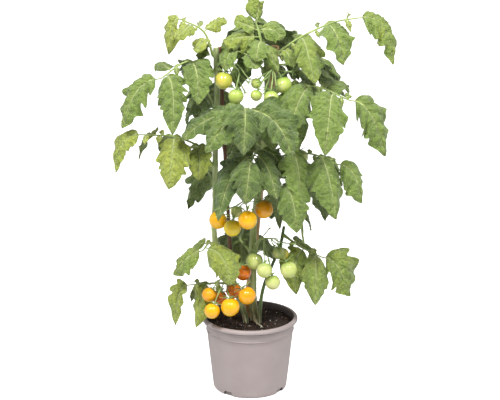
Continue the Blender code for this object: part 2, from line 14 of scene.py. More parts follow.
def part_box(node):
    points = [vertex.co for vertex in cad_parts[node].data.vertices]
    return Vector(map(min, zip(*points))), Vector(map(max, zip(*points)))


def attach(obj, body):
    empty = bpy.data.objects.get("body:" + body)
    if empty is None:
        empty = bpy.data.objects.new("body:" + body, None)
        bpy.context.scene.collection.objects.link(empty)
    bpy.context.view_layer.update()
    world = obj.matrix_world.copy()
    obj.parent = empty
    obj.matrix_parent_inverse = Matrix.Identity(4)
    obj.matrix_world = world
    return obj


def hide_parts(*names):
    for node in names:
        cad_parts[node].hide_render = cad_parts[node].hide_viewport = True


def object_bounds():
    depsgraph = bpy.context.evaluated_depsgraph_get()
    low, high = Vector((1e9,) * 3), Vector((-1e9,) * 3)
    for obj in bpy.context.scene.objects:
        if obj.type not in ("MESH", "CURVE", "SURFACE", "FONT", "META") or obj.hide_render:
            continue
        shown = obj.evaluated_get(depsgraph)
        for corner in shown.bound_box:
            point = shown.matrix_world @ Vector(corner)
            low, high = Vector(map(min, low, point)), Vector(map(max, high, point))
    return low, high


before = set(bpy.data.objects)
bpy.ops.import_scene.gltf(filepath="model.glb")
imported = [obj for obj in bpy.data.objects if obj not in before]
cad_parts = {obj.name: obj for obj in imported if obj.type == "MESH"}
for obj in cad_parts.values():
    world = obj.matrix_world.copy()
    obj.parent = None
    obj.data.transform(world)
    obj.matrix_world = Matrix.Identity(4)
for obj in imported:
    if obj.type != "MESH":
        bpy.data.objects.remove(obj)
CAD_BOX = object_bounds()

MM = 0.001
UP = np.array((0.0, 0.0, 1.0))

# Pot, an injection-moulded nursery pot with a rolled rim and a notched foot
POT_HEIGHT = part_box("pot")[1].z / MM
RIM_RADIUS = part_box("pot")[1].x / MM
FOOT_RADIUS = 50.5
COLLAR_RADIUS = 60.0
COLLAR_HEIGHT = 19.0
COLLAR_STEP = 1.0
RIM_HEIGHT = 7.0
WALL = 1.3
FLOOR = 2.0
FOOT_ROUND = 4.5
NOTCH_WIDTH = 18.0
NOTCH_HEIGHT = 7.0
NOTCH_SLANT = 3.0
FOOT_RECESS = 4.2
NOTCH_ANGLES = (-126, -36, 54, 144)
POT_SIDES = 192

# Peat
SOIL_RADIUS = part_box("soil")[1].x / MM
SOIL_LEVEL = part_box("soil")[1].z / MM - 1.1
SOIL_LUMP = 1.1

# What is strewn on the peat: the look of a bit and its lengths in millimetres, how many there
# are on a square metre, the smallest and largest scale, and how far one may lean (radians)
STREWN = {
    "peat_crumbs": {"look": "crumb", "lengths": (1.0, 0.8, 0.7), "density": 160000.0, "sizes": (0.9, 3.4),
                    "lean": math.pi},
    "bark_bits": {"look": "bark", "lengths": (1.0, 0.55, 0.25), "density": 26000.0, "sizes": (1.5, 5.5),
                  "lean": 0.5},
    "fibres": {"look": "fibre", "lengths": (7.0, 0.55, 0.45), "density": 12000.0, "sizes": (0.4, 1.3),
               "lean": 0.5},
    "perlite": {"look": "perlite", "lengths": (1.0, 0.9, 0.8), "density": 6000.0, "sizes": (0.9, 2.3),
                "lean": math.pi},
}

# Supports: the points at the two ends, and the radius
STAKE = ((-10, 16, 45), (33, 15, 468))
STAKE_RADIUS = 5.2
CANE = ((-20, 14, 45), (-40, 12, 467))
CANE_RADIUS = 2.5

# Stems: the points up the middle of each, and its radius at the foot and at the top
STEMS = {
    "stem_main": {
        "points": ((6, 2, 78), (6, 2, 98), (4, 1, 125), (4, 0, 160), (4, 0, 195), (5, 0, 230), (10, 0, 264),
                   (16, 0, 305), (20, 0, 359), (22, 0, 406), (21, 0, 445), (18, 0, 468)),
        "radii": (5.6, 2.6),
    },
    "stem_left": {
        "points": ((-6, -4, 78), (-6, -4, 98), (-14, -4, 124), (-27, -6, 165), (-43, -8, 197),
                   (-48, -8, 228), (-46, -5, 266), (-46, 0, 312), (-45, 0, 359), (-43, 0, 400),
                   (-43, 0, 432), (-44, 0, 468)),
        "radii": (3.7, 3.5),
    },
    "stem_shoot": {
        "points": ((13, -8, 78), (13, -8, 98), (15, -5, 127), (20, 0, 148), (30, 5, 172),
                   (41, 10, 199), (46, 14, 224)),
        "radii": (2.5, 1.9),
    },
}
STEM_GAP = 0.6
AGED_HEIGHT = 45
HAIR_DENSITY = 350000.0
BARE_ROOT = ((7, -3, SOIL_LEVEL + 3), (10, -10, SOIL_LEVEL), (15, -18, SOIL_LEVEL - 0.4),
             (19, -25, SOIL_LEVEL - 2))

# Leaves: the stem and the height that each one leaves it at, the points that its stalk
# passes through, the way its blades face (degrees, 0 front, 90 right), its end leaflet as
# (tip, width), and its side leaflets as (place along the stalk, tip, width). Tint runs
# from 0, deep green, to 1, yellow-green.
LEAVES = {
    "leaf_crown": {
        "stem": "stem_main", "height": 458, "stalk": ((14, -9, 478), (8, -4, 500)),
        "faces": 0, "tint": 0.60, "end": ((13, -8, 528), 28),
        "sides": ((0.80, (42, -16, 482), 30), (0.80, (-20, -14, 504), 22), (0.60, (-34, -22, 480), 32),
                  (0.45, (8, -40, 456), 30), (0.30, (-22, 16, 450), 28), (0.30, (36, -26, 440), 24)),
    },
    "leaf_top_front": {
        "stem": "stem_main", "height": 438, "stalk": ((4, -14, 456), (-14, -20, 466)),
        "faces": 0, "tint": 0.46, "end": ((-32, -32, 443), 30),
        "sides": ((0.75, (-36, -6, 474), 26), (0.75, (8, -38, 446), 26), (0.25, (-34, 11, 412), 34)),
    },
    "leaf_top_left": {
        "stem": "stem_left", "height": 458, "stalk": ((-60, -6, 490), (-88, -12, 506)), "faces": -20,
        "tint": 0.78, "end": ((-104, -20, 462), 32),
        "sides": ((0.35, (-68, -32, 466), 22), (0.75, (-94, -46, 486), 22), (0.50, (-34, 20, 504), 26),
                  (0.20, (-66, 14, 444), 28)),
    },
    "leaf_top_right": {
        "stem": "stem_main", "height": 452, "stalk": ((64, -8, 482), (106, -13, 502), (136, -15, 508)),
        "faces": 15, "tint": 0.56, "end": ((183, -24, 450), 46),
        "sides": ((0.40, (82, -44, 428), 40), (0.70, (118, -46, 453), 40), (0.40, (76, 36, 466), 32),
                  (0.70, (132, 32, 476), 30), (0.18, (56, -20, 446), 22), (0.18, (64, 14, 424), 30)),
    },
    "leaf_left_upper": {
        "stem": "stem_left", "height": 438, "stalk": ((-80, -14, 452), (-114, -24, 432)), "faces": -15,
        "tint": 0.42, "end": ((-163, -45, 371), 48),
        "sides": ((0.40, (-66, -46, 402), 36), (0.90, (-98, -62, 366), 40), (0.80, (-120, 14, 446), 22),
                  (0.40, (-72, 34, 404), 34), (0.20, (-48, 34, 424), 24)),
    },
    "leaf_left_middle": {
        "stem": "stem_left", "height": 312, "stalk": ((-66, -8, 338), (-98, -18, 354), (-138, -28, 359)),
        "faces": -10, "tint": 0.80, "end": ((-174, -38, 312), 32),
        "sides": ((0.30, (-66, -50, 304), 34), (0.62, (-104, -62, 295), 46), (0.62, (-106, 26, 314), 34),
                  (0.85, (-148, 12, 318), 26), (0.30, (-66, 36, 308), 28)),
    },
    "leaf_front_upper": {
        "stem": "stem_main", "height": 388, "stalk": ((6, -34, 392), (-6, -74, 402)),
        "faces": 0, "tint": 0.26, "end": ((-8, -100, 348), 50),
        "sides": ((0.38, (-86, -60, 358), 40), (0.80, (-54, -96, 350), 42), (0.80, (52, -100, 346), 48),
                  (0.38, (30, -48, 342), 36)),
    },
    "leaf_right_middle": {
        "stem": "stem_main", "height": 402, "stalk": ((48, -9, 417), (86, -18, 420), (128, -28, 404)),
        "faces": 10, "tint": 0.46, "end": ((174, -44, 334), 52),
        "sides": ((0.52, (48, -66, 364), 46), (0.80, (95, -75, 342), 46), (0.68, (122, 28, 416), 38),
                  (0.40, (66, 40, 408), 30), (0.25, (58, -30, 330), 42)),
    },
    "leaf_right_lower": {
        "stem": "stem_main", "height": 308, "stalk": ((44, -14, 328), (80, -26, 333), (112, -36, 322)),
        "faces": 10, "tint": 0.42, "end": ((144, -54, 274), 44),
        "sides": ((0.45, (64, -68, 286), 42), (0.80, (110, -80, 260), 50), (0.80, (114, 6, 286), 32)),
    },
    "leaf_front_middle": {
        "stem": "stem_main", "height": 333, "stalk": ((9, -36, 341), (2, -68, 332)),
        "faces": 0, "tint": 0.22, "end": ((-6, -98, 284), 46),
        "sides": ((0.75, (-40, -88, 260), 38), (0.75, (34, -86, 288), 40), (0.35, (-34, -42, 314), 36),
                  (0.35, (46, -42, 304), 36)),
    },
    "leaf_front_lower": {
        "stem": "stem_main", "height": 284, "stalk": ((26, -26, 297), (42, -50, 295)), "faces": 10,
        "tint": 0.28, "end": ((60, -80, 242), 44),
        "sides": ((0.50, (40, 0, 224), 32), (0.85, (72, -36, 214), 20)),
    },
    "leaf_low_right": {
        "stem": "stem_shoot", "height": 212, "stalk": ((68, -2, 200), (96, -14, 189)), "faces": 15,
        "tint": 0.68, "end": ((132, -26, 138), 56),
        "sides": ((0.85, (86, -56, 136), 42), (0.55, (62, -24, 140), 36), (0.35, (90, 34, 156), 34)),
    },
    "leaf_low_left": {
        "stem": "stem_left", "height": 207, "stalk": ((-54, -24, 212), (-62, -40, 206)),
        "faces": -10, "tint": 0.66, "end": ((-100, -48, 175), 36),
        "sides": ((0.80, (-26, -70, 168), 44), (0.50, (-88, -8, 176), 24)),
    },
    "leaf_over_rim": {
        "stem": "stem_left", "height": 150, "stalk": ((-44, -18, 154), (-80, -26, 154)), "faces": -10,
        "tint": 0.72, "end": ((-100, -36, 101), 28),
        "sides": ((0.62, (-72, -42, 100), 34), (0.62, (-80, 12, 118), 26)),
    },
    "leaf_back_top": {
        "stem": "stem_main", "height": 458, "stalk": ((12, 34, 484), (8, 76, 490)),
        "faces": 180, "tint": 0.38, "end": ((-4, 126, 438), 48),
        "sides": ((0.50, (-42, 62, 446), 38), (0.50, (60, 60, 450), 38), (0.82, (-40, 108, 444), 34),
                  (0.82, (52, 106, 440), 34), (0.28, (-18, 38, 406), 38), (0.28, (44, 42, 448), 30)),
    },
    "leaf_back_right": {
        "stem": "stem_main", "height": 424, "stalk": ((20, 38, 436), (80, 78, 438)),
        "faces": 150, "tint": 0.34, "end": ((116, 124, 382), 48),
        "sides": ((0.60, (98, 36, 380), 36), (0.55, (36, 90, 392), 36), (0.82, (130, 78, 390), 30)),
    },
    "leaf_back_left": {
        "stem": "stem_left", "height": 388, "stalk": ((-58, 40, 404), (-66, 78, 402)), "faces": -150,
        "tint": 0.36, "end": ((-76, 120, 350), 48),
        "sides": ((0.55, (-24, 74, 362), 36), (0.55, (-86, 48, 358), 36), (0.82, (-38, 112, 350), 32)),
    },
    "leaf_back_middle": {
        "stem": "stem_main", "height": 336, "stalk": ((2, 22, 348), (12, 84, 354)),
        "faces": 180, "tint": 0.34, "end": ((8, 138, 296), 48),
        "sides": ((0.50, (-32, 78, 306), 36), (0.50, (68, 74, 304), 36), (0.82, (-34, 118, 298), 32),
                  (0.82, (62, 116, 296), 32)),
    },
    "leaf_back_left_low": {
        "stem": "stem_left", "height": 272, "stalk": ((-54, 36, 290), (-60, 68, 286)), "faces": -150,
        "tint": 0.42, "end": ((-74, 108, 232), 46),
        "sides": ((0.55, (-28, 70, 246), 32), (0.55, (-84, 36, 242), 32)),
    },
    "leaf_back_right_low": {
        "stem": "stem_main", "height": 250, "stalk": ((26, 19, 262), (68, 62, 264)),
        "faces": 150, "tint": 0.36, "end": ((106, 98, 208), 46),
        "sides": ((0.60, (84, 22, 216), 32), (0.60, (30, 80, 216), 32)),
    },
    "leaf_back_low": {
        "stem": "stem_main", "height": 192, "stalk": ((-13, 20, 204), (-8, 66, 206)), "faces": 180,
        "tint": 0.44, "end": ((-14, 108, 150), 44),
        "sides": ((0.60, (-46, 66, 156), 32), (0.60, (36, 70, 158), 32), (0.30, (-12, 42, 140), 30)),
    },
}
STALK_RADII = (1.7, 0.9)
TINY_LEAFLET_ROOM = 16
TINY_LEAFLET_LENGTHS = (9, 15)

# Blades. Bow, sideways curve and sway are shares of the leaflet's length, fold and waves are
# shares of its width, quilt and pucker are millimetres on a blade 45 wide, and angles are
# degrees. Each pair or limit is the range that a leaflet draws its own value from.
BLADE_BOW = 0.10
BLADE_TURN = 18.0
BLADE_RISE = 0.75
BLADE_START = 0.10
BLADE_FULLNESS = 1.14
BLADE_THICKNESS = 0.35
BLADE_TWIST = 28
BLADE_ASIDE = 0.05
BLADE_UNEVEN = 0.12
BLADE_FOLDS = (-0.12, 0.60)
LOBE_DEPTHS = (0.05, 0.58)
QUILT_HEIGHTS = (1.4, 3.2)
PUCKER_HEIGHTS = (0.4, 1.2)
EDGE_WAVES = (0.10, 0.26)
EDGE_SWAY = 0.03
VEIN_SPACING = 12.0
MIDRIB_WIDTHS = (1.5, 0.35)

# Trusses: the stem and height as for a leaf, the points of the stalk, the place along it
# where each fruit's own stalk leaves it, the skin of each fruit, and the ends of the
# stalks whose flowers have dropped, as (place, end).
TRUSSES = {
    "truss_top_left": {
        "stem": "stem_left", "height": 446, "stalk": ((-30, -18, 456), (-16, -26, 444)),
        "places": (0.60, 1.0), "skins": ("turning", "green"),
        "spent": ((0.30, (-24, -8, 420)), (0.45, (-12, -12, 414)), (0.62, (-2, -20, 426)),
                  (0.80, (0, -32, 432)), (0.92, (-6, -18, 412))),
    },
    "truss_top_right": {
        "stem": "stem_main", "height": 436, "stalk": ((32, -12, 445), (24, -28, 440)),
        "places": (0.55, 0.80, 0.80, 1.0), "skins": ("green", "green", "green", "green"),
        "spent": ((0.35, (54, -20, 440)), (0.90, (14, -44, 430)), (0.65, (20, -12, 418)),
                  (0.75, (34, -38, 424)), (0.95, (18, -36, 414))),
    },
    "truss_right": {
        "stem": "stem_main", "height": 322, "stalk": ((34, -7, 334), (54, 4, 338)), "places": (0.70, 1.0),
        "skins": ("pale", "pale"), "spent": (),
    },
    "truss_middle": {
        "stem": "stem_main", "height": 262, "stalk": ((8, -22, 276), (-4, -40, 276), (-20, -42, 266)),
        "places": (0.30, 0.55, 0.75, 0.88, 1.0), "skins": ("pale", "orange", "yellow", "yellow", "lime"),
        "spent": (),
    },
    "truss_low_right": {
        "stem": "stem_main", "height": 204, "stalk": ((16, -22, 217), (34, -32, 220)),
        "places": (0.40, 0.60, 0.60, 0.85, 0.85, 1.0),
        "skins": ("pale", "pale", "pale", "turning", "pale", "pale"),
        "spent": ((0.30, (26, -10, 228)), (0.95, (58, -36, 214))),
    },
    "truss_low_left": {
        "stem": "stem_left", "height": 180, "stalk": ((-26, -22, 186), (-24, -36, 174), (-30, -42, 160)),
        "places": (0.30, 0.55, 0.70, 0.70, 0.88, 0.88, 1.0),
        "skins": ("red", "red", "red", "orange", "orange", "yellow", "yellow"),
        "spent": ((0.45, (-2, -36, 186)),),
    },
}
PEDUNCLE_RADII = (1.5, 0.9)
PEDICEL_RADIUS = 0.75
KNUCKLE_RADIUS = 1.3
FRUIT_DIMPLE = 0.07
FULL_FRUIT = 22
SEPAL_LENGTH = 12.0
SEPAL_THICKNESS = 0.35

# Studio: white surroundings, two soft boxes in front and above, and a long lens
CAMERA_BACK = 1.695
CAMERA_HEIGHT = 0.709
CAMERA_PITCH = 14.7
CAMERA_LENS = 94.68
SOFT_BOX_AZIMUTHS = (-32, 28)
SOFT_BOX_ELEVATION = 52
SOFT_BOX_DISTANCE = 1.7
SOFT_BOX_SIZE = 0.24
SOFT_BOX_POWER = 20
SURROUND_STRENGTH = (0.05, 0.80)
SIDE_STRENGTH = 0.55
FLOOR_GLOW = 0.05


# ---------------------------------------------------------------- small helpers

def linear(code):
    """An sRGB hex colour as linear red, green, blue and alpha."""
    values = [int(code[start:start + 2], 16) / 255 for start in (1, 3, 5)]
    return (*(v / 12.92 if v <= 0.04045 else ((v + 0.055) / 1.055) ** 2.4 for v in values), 1.0)


# The kinds of node that are used most, by a short name: the type, its settings, the inputs
# that values fill in order, and the output that is read
MATHS = ("ADD", "SUBTRACT", "MULTIPLY", "DIVIDE", "POWER", "SQRT", "ABSOLUTE", "FRACT", "MAXIMUM", "COSINE",
         "ARCTAN2", "EXPONENT", "GREATER_THAN")
KINDS = {
    **{operation: ("ShaderNodeMath", {"operation": operation}, (0, 1), 0) for operation in MATHS},
    "mix": ("ShaderNodeMix", {"data_type": "RGBA"}, (0, 6, 7), 2),
    "range": ("ShaderNodeMapRange", {"interpolation_type": "SMOOTHSTEP"}, ("Value", 1, 2, 3, 4), 0),
    "relief": ("ShaderNodeBump", {}, ("Height", "Distance", "Normal"), 0),
    "scaled": ("ShaderNodeVectorMath", {"operation": "SCALE"}, (0, "Scale"), 0),
}


def fill(node, values):
    """Fills a node's inputs: each with a number, an sRGB hex colour, or the socket that it comes from."""
    for key, value in values.items():
        if isinstance(value, bpy.types.NodeSocket):
            node.id_data.links.new(value, node.inputs[key])
        elif isinstance(value, str) and value.startswith("#"):
            node.inputs[key].default_value = linear(value)
        else:
            node.inputs[key].default_value = value


def wired(tree, kind, *values, out=None, **settings):
    """Adds a node and gives its output. Values fill its inputs in order, or by name from one dictionary."""
    node_type, standing, order, main_output = KINDS.get(kind, (kind, {}, range(len(values)), 0))
    node = tree.nodes.new(node_type)
    for key, value in {**standing, **settings}.items():
        setattr(node, key, value)
    by_name = bool(values) and isinstance(values[0], dict)
    fill(node, values[0] if by_name else dict(zip(order, values)))
    return node.outputs[main_output if out is None else out]


def unit(vector):
    """Vectors of length one, for one vector or for rows of them."""
    vector = np.asarray(vector, float)
    return vector / np.linalg.norm(vector, axis=-1, keepdims=True)


def square_to(vectors, along):
    """The part of each vector that is square to its direction, at length one."""
    return unit(vectors - along * np.sum(vectors * along, axis=-1, keepdims=True))


def level_direction(angle):
    """A level direction, from its angle off the front in degrees."""
    turn = math.radians(angle)
    return np.array((math.sin(turn), -math.cos(turn), 0.0))


class SmoothCurve:
    """A smooth curve through the given points, read by its share of the length."""

    def __init__(self, points, steps=12):
        points = np.asarray(points, float)
        ends = np.vstack((2 * points[0] - points[1], points, 2 * points[-1] - points[-2]))
        samples = [points[0]]
        for before, start, end, after in zip(ends, ends[1:], ends[2:], ends[3:]):
            for step in range(1, steps + 1):
                share = step / steps
                bend = (2 * before - 5 * start + 4 * end - after) * share ** 2
                twist = (3 * start - before - 3 * end + after) * share ** 3
                samples.append(0.5 * (2 * start + (end - before) * share + bend + twist))
        self.samples = np.array(samples)
        lengths = np.linalg.norm(np.diff(self.samples, axis=0), axis=1)
        self.length = lengths.sum()
        self.shares = np.concatenate(((0.0,), np.cumsum(lengths))) / self.length

    def at(self, shares):
        return np.stack([np.interp(shares, self.shares, self.samples[:, axis]) for axis in range(3)], axis=-1)

    def direction(self, shares):
        shares = np.asarray(shares, float)
        return unit(self.at(np.minimum(shares + 0.01, 1.0)) - self.at(np.maximum(shares - 0.01, 0.0)))

    def share_at_height(self, height):
        return float(np.interp(height, self.samples[:, 2], self.shares))


def grid_faces(rows, columns, wrap=False):
    """Corner numbers of the quads of a grid of points; wrap joins the last column to the first."""
    row, column = np.meshgrid(np.arange(rows - 1), np.arange(columns if wrap else columns - 1), indexing="ij")
    row = row.ravel() * columns
    column = column.ravel()
    following = (column + 1) % columns
    above = row + columns
    return np.stack((row + column, row + following, above + following, above + column), axis=1)


def end_fans(rows, sides):
    """Triangles that close a wrapped grid's first and last rows onto the two points after the grid's own."""
    side = np.arange(sides)
    following = (side + 1) % sides
    last = (rows - 1) * sides
    foot = np.stack((following, side, np.full(sides, rows * sides)), axis=1)
    top = np.stack((last + side, last + following, np.full(sides, rows * sides + 1)), axis=1)
    return foot, top


def sheet(top, bottom):
    """Points and faces of a thin closed sheet, from the grids of points of its two sides."""
    rows, columns, _ = top.shape
    count = rows * columns
    quads = grid_faces(rows, columns)
    number = np.arange(count).reshape(rows, columns)
    rim = np.concatenate((number[0, :-1], number[:-1, -1], number[-1, :0:-1], number[:0:-1, 0]))
    ahead = np.roll(rim, -1)
    edge = np.stack((rim + count, ahead + count, ahead, rim), axis=1)
    points = np.vstack((top.reshape(-1, 3), bottom.reshape(-1, 3)))
    return points, np.vstack((quads, quads[:, ::-1] + count, edge))


class Skin:
    """A mesh that is gathered body by body: points, faces, UVs and the values that its materials read."""

    VALUES = ("tint", "underside", "along")

    def __init__(self):
        self.points = []
        self.faces = []
        self.uvs = []
        self.slots = []
        self.values = {name: [] for name in self.VALUES}
        self.count = 0

    def add(self, points, groups, slot=0, **values):
        """Adds points, and groups of (faces, UVs) whose UVs are one for each corner of each face."""
        for faces, uvs in groups:
            self.faces.extend((np.asarray(faces) + self.count).tolist())
            self.uvs.append(np.asarray(uvs, float).reshape(-1, 2))
            self.slots.extend([slot] * len(faces))
        self.points.append(points)
        for name in self.VALUES:
            self.values[name].append(np.broadcast_to(values.get(name, 0.0), len(points)))
        self.count += len(points)

    def add_tube(self, centres, radii, sides, slot=0, **values):
        """Adds a closed tube round a line of centres. Radii are one for each ring, or for each of its points.

        Its UV holds the share of the way round, and the millimetres from its foot.
        """
        centres = np.asarray(centres, float)
        radii = np.asarray(radii, float)
        radii = np.broadcast_to(radii if radii.ndim == 2 else radii[:, None], (len(centres), sides))
        alongs = unit(np.gradient(centres, axis=0))
        across = np.array((1.0, 0.0, 0.0)) if abs(alongs[0][0]) < 0.9 else np.array((0.0, 1.0, 0.0))
        angles = 2 * math.pi * np.arange(sides) / sides
        rings = []
        for centre, along, ring_radii in zip(centres, alongs, radii):
            across = square_to(across, along)
            beside = np.cross(along, across)
            around = np.outer(np.cos(angles), across) + np.outer(np.sin(angles), beside)
            rings.append(centre + ring_radii[:, None] * around)
        lengths = np.concatenate(((0.0,), np.cumsum(np.linalg.norm(np.diff(centres, axis=0), axis=1))))
        faces = grid_faces(len(centres), sides, wrap=True)
        row = faces[:, 0] // sides
        column = faces[:, 0] % sides
        turns = np.stack((column, column + 1, column + 1, column), axis=1) / sides
        heights = np.stack((lengths[row], lengths[row], lengths[row + 1], lengths[row + 1]), axis=1)
        groups = [(faces, np.stack((turns, heights), axis=-1))]
        for fan, length in zip(end_fans(len(centres), sides), (0.0, lengths[-1])):
            groups.append((fan, np.tile((0.5, length), (sides * 3, 1))))
        self.add(np.vstack((*rings, centres[0], centres[-1])), groups, slot, **values)

    def mesh(self, name, materials, smooth_angle=60):
        made = bpy.data.meshes.new(name)
        made.from_pydata((np.vstack(self.points) * MM).tolist(), [], self.faces)
        made.uv_layers.new(name="UVMap").data.foreach_set("uv", np.vstack(self.uvs).ravel())
        for label, values in self.values.items():
            layer = made.attributes.new(label, "FLOAT", "POINT")
            layer.data.foreach_set("value", np.concatenate(values).astype(np.float32))
        for material in materials:
            made.materials.append(material)
        made.polygons.foreach_set("material_index", self.slots)
        made.shade_smooth()
        made.set_sharp_from_angle(angle=math.radians(smooth_angle))
        return made


def object_of(name, mesh):
    made = bpy.data.objects.new(name, mesh)
    bpy.context.scene.collection.objects.link(made)
    return made


def finished(name, mesh, slot, *nodes):
    """Puts a mesh in the scene as a piece of the plant that stands for the named solids."""
    piece = object_of(name, mesh)
    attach(piece, "root")
    if nodes:
        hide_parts(*nodes)
    return piece


# ---------------------------------------------------------------- materials

def new_material(name):
    made = bpy.data.materials.new(name)
    made.use_nodes = True
    return made, made.node_tree, made.node_tree.nodes["Principled BSDF"]


def mottle(tree, size, detail=3.0, stretch=None):
    """Noise whose blotches are about the given size in millimetres, or in lengths of a given vector."""
    place = stretch or wired(tree, "ShaderNodeTexCoord", out="Object")
    scale = 1.0 / (size if stretch else size * MM)
    return wired(tree, "ShaderNodeTexNoise", {"Vector": place, "Scale": scale, "Detail": detail})


def drawn_out(tree, per_round, per_mm):
    """A tube's UV, with so many lengths of a pattern in one round and in one millimetre along the tube."""
    uv = wired(tree, "ShaderNodeUVMap", uv_map="UVMap")
    return wired(tree, "ShaderNodeMapping", {"Vector": uv, "Scale": (per_round, per_mm, 1.0)})


def leaf_blade():
    """Tomato leaf: a matt, finely haired skin.

    Its gloss is broad, and a grey bloom shows where it turns away. The UV holds the number of
    lateral veins passed, and the distance from the midrib in millimetres.
    """
    made, tree, shader = new_material("tomato_leaf_blade")
    uv = wired(tree, "ShaderNodeUVMap", uv_map="UVMap")
    passed, beside, _ = wired(tree, "ShaderNodeSeparateXYZ", uv).node.outputs
    tint, underside, along = (wired(tree, "ShaderNodeAttribute", out="Fac", attribute_name=label)
                              for label in Skin.VALUES)
    out = wired(tree, "ABSOLUTE", beside)
    off_vein = wired(tree, "ABSOLUTE", wired(tree, "SUBTRACT", wired(tree, "FRACT", passed), 0.5))
    lateral = wired(tree, "MULTIPLY", wired(tree, "range", off_vein, 0.01, 0.055, 1.0, 0.0),
                    wired(tree, "range", out, 2.0, 24.0, 1.0, 0.25))
    rib_width = wired(tree, "range", along, 0.0, 1.0, *MIDRIB_WIDTHS)
    midrib = wired(tree, "range", wired(tree, "DIVIDE", out, rib_width), 0.35, 1.0, 1.0, 0.0)
    veins = wired(tree, "MAXIMUM", midrib, wired(tree, "MULTIPLY", lateral, 0.42))

    flecks = mottle(tree, 4.0)
    wrinkles_and_crease_shade = mottle(tree, 5.5, 4.0)
    age = tint
    for patches, change in ((mottle(tree, 22.0), 0.45), (flecks, 0.10)):
        age = wired(tree, "ADD", age, wired(tree, "MULTIPLY", wired(tree, "SUBTRACT", patches, 0.5), change))
    green = wired(tree, "mix", wired(tree, "range", age, 0.0, 0.5), "#365017", "#748C34")
    green = wired(tree, "mix", wired(tree, "range", age, 0.5, 1.0), green, "#B2B942")
    # Painted shade: where the wrinkle noise is low, in the hollows that the crinkle bump below sinks, the
    # green is darkened towards #364F16
    green = wired(tree, "mix", wired(tree, "range", wrinkles_and_crease_shade, 0.32, 0.58, 0.26, 0.0), green, "#364F16")
    green = wired(tree, "mix", wired(tree, "range", out, 0.0, 6.0, 0.26, 0.0), green, "#A3B060")
    top = wired(tree, "mix", veins, green, "#B9C67E")
    shown = wired(tree, "mix", wired(tree, "MULTIPLY", underside, 0.55), top, "#86966A")

    place = wired(tree, "ShaderNodeTexCoord", out="Object")
    cells = wired(tree, "ShaderNodeTexVoronoi", {"Vector": place, "Scale": 1 / (2.4 * MM)}, out="Distance",
                  feature="DISTANCE_TO_EDGE")
    net = wired(tree, "relief", wired(tree, "range", cells, 0.0, 0.25), 0.5 * MM)
    crinkle = wired(tree, "relief", wrinkles_and_crease_shade, 6.0 * MM, net)
    sunk = wired(tree, "relief", wired(tree, "SUBTRACT", 1.0, veins), 0.6 * MM, crinkle)
    fill(shader, {
        "Base Color": shown,
        "Roughness": wired(tree, "range", flecks, 0.3, 0.7, 0.40, 0.56),
        "Normal": sunk,
        "Subsurface Weight": 0.05,
        "Subsurface Radius": (0.6, 1.0, 0.2),
        "Subsurface Scale": 1.5 * MM,
        "Sheen Weight": 0.40,
        "Sheen Roughness": 0.45,
        "Sheen Tint": "#E4EBD2",
    })
    return made


def green_stalk(name, shade, light, base=None, base_height=0.0):
    """Living stalk: waxy green skin with pale lengthwise stripes, corky low down if it has a base."""
    made, tree, shader = new_material(name)
    stripes = mottle(tree, 1.0, 4.0, stretch=drawn_out(tree, 9.0, 0.035))
    blotches = mottle(tree, 9.0)
    colour = wired(tree, "mix", wired(tree, "range", stripes, 0.38, 0.62), shade, light)
    colour = wired(tree, "mix", wired(tree, "range", blotches, 0.35, 0.75, 0.0, 0.45), colour, light)
    if base:
        place = wired(tree, "ShaderNodeTexCoord", out="Object")
        up = wired(tree, "ShaderNodeSeparateXYZ", place, out="Z")
        height = wired(tree, "ADD", up, wired(tree, "MULTIPLY", blotches, 30 * MM))
        aged = wired(tree, "range", height, base_height * MM, (base_height + AGED_HEIGHT) * MM, 0.9, 0.0)
        bark = wired(tree, "mix", wired(tree, "range", stripes, 0.48, 0.60), base, "#DCD2B0")
        colour = wired(tree, "mix", aged, colour, bark)
    fill(shader, {
        "Base Color": colour,
        "Normal": wired(tree, "relief", stripes, 0.35 * MM),
        "Roughness": 0.48,
        "Sheen Weight": 0.3,
    })
    return made


def cut_pith():
    """Cut end of a stem: dry, whitish pith."""
    made, tree, shader = new_material("cut_stem_pith")
    pith = wired(tree, "mix", mottle(tree, 1.5), "#CFC9A4", "#F0ECD8")
    fill(shader, {"Base Color": pith, "Roughness": 0.85})
    return made


def tomato_skin(name, flesh, blush, shoulder, shoulder_share):
    """Ripening tomato skin: a thin, waxed, very glossy skin over flesh that lets some light in.

    The shoulder value runs from -1 at the blossom end to 1 at the stalk.
    """
    made, tree, shader = new_material(name)
    height = wired(tree, "ShaderNodeAttribute", out="Fac", attribute_name="shoulder")
    blotches = mottle(tree, 14.0, 2.0)
    uneven = wired(tree, "MULTIPLY", wired(tree, "SUBTRACT", blotches, 0.5), 0.8)
    green_top = wired(tree, "range", wired(tree, "ADD", height, uneven), 0.15, 1.0, 0.0, shoulder_share)
    specks = wired(tree, "range", mottle(tree, 0.9, 1.0), 0.62, 0.72, 0.0, 0.35)
    colour = wired(tree, "mix", wired(tree, "range", blotches, 0.35, 0.68), flesh, blush)
    colour = wired(tree, "mix", green_top, colour, shoulder)
    fill(shader, {
        "Base Color": wired(tree, "mix", specks, colour, blush),
        "Roughness": 0.10,
        "IOR": 1.46,
        "Subsurface Weight": 0.05,
        "Subsurface Radius": (1.0, 0.7, 0.3),
        "Subsurface Scale": 3 * MM,
        "Coat Weight": 0.35,
        "Coat Roughness": 0.05,
    })
    return made


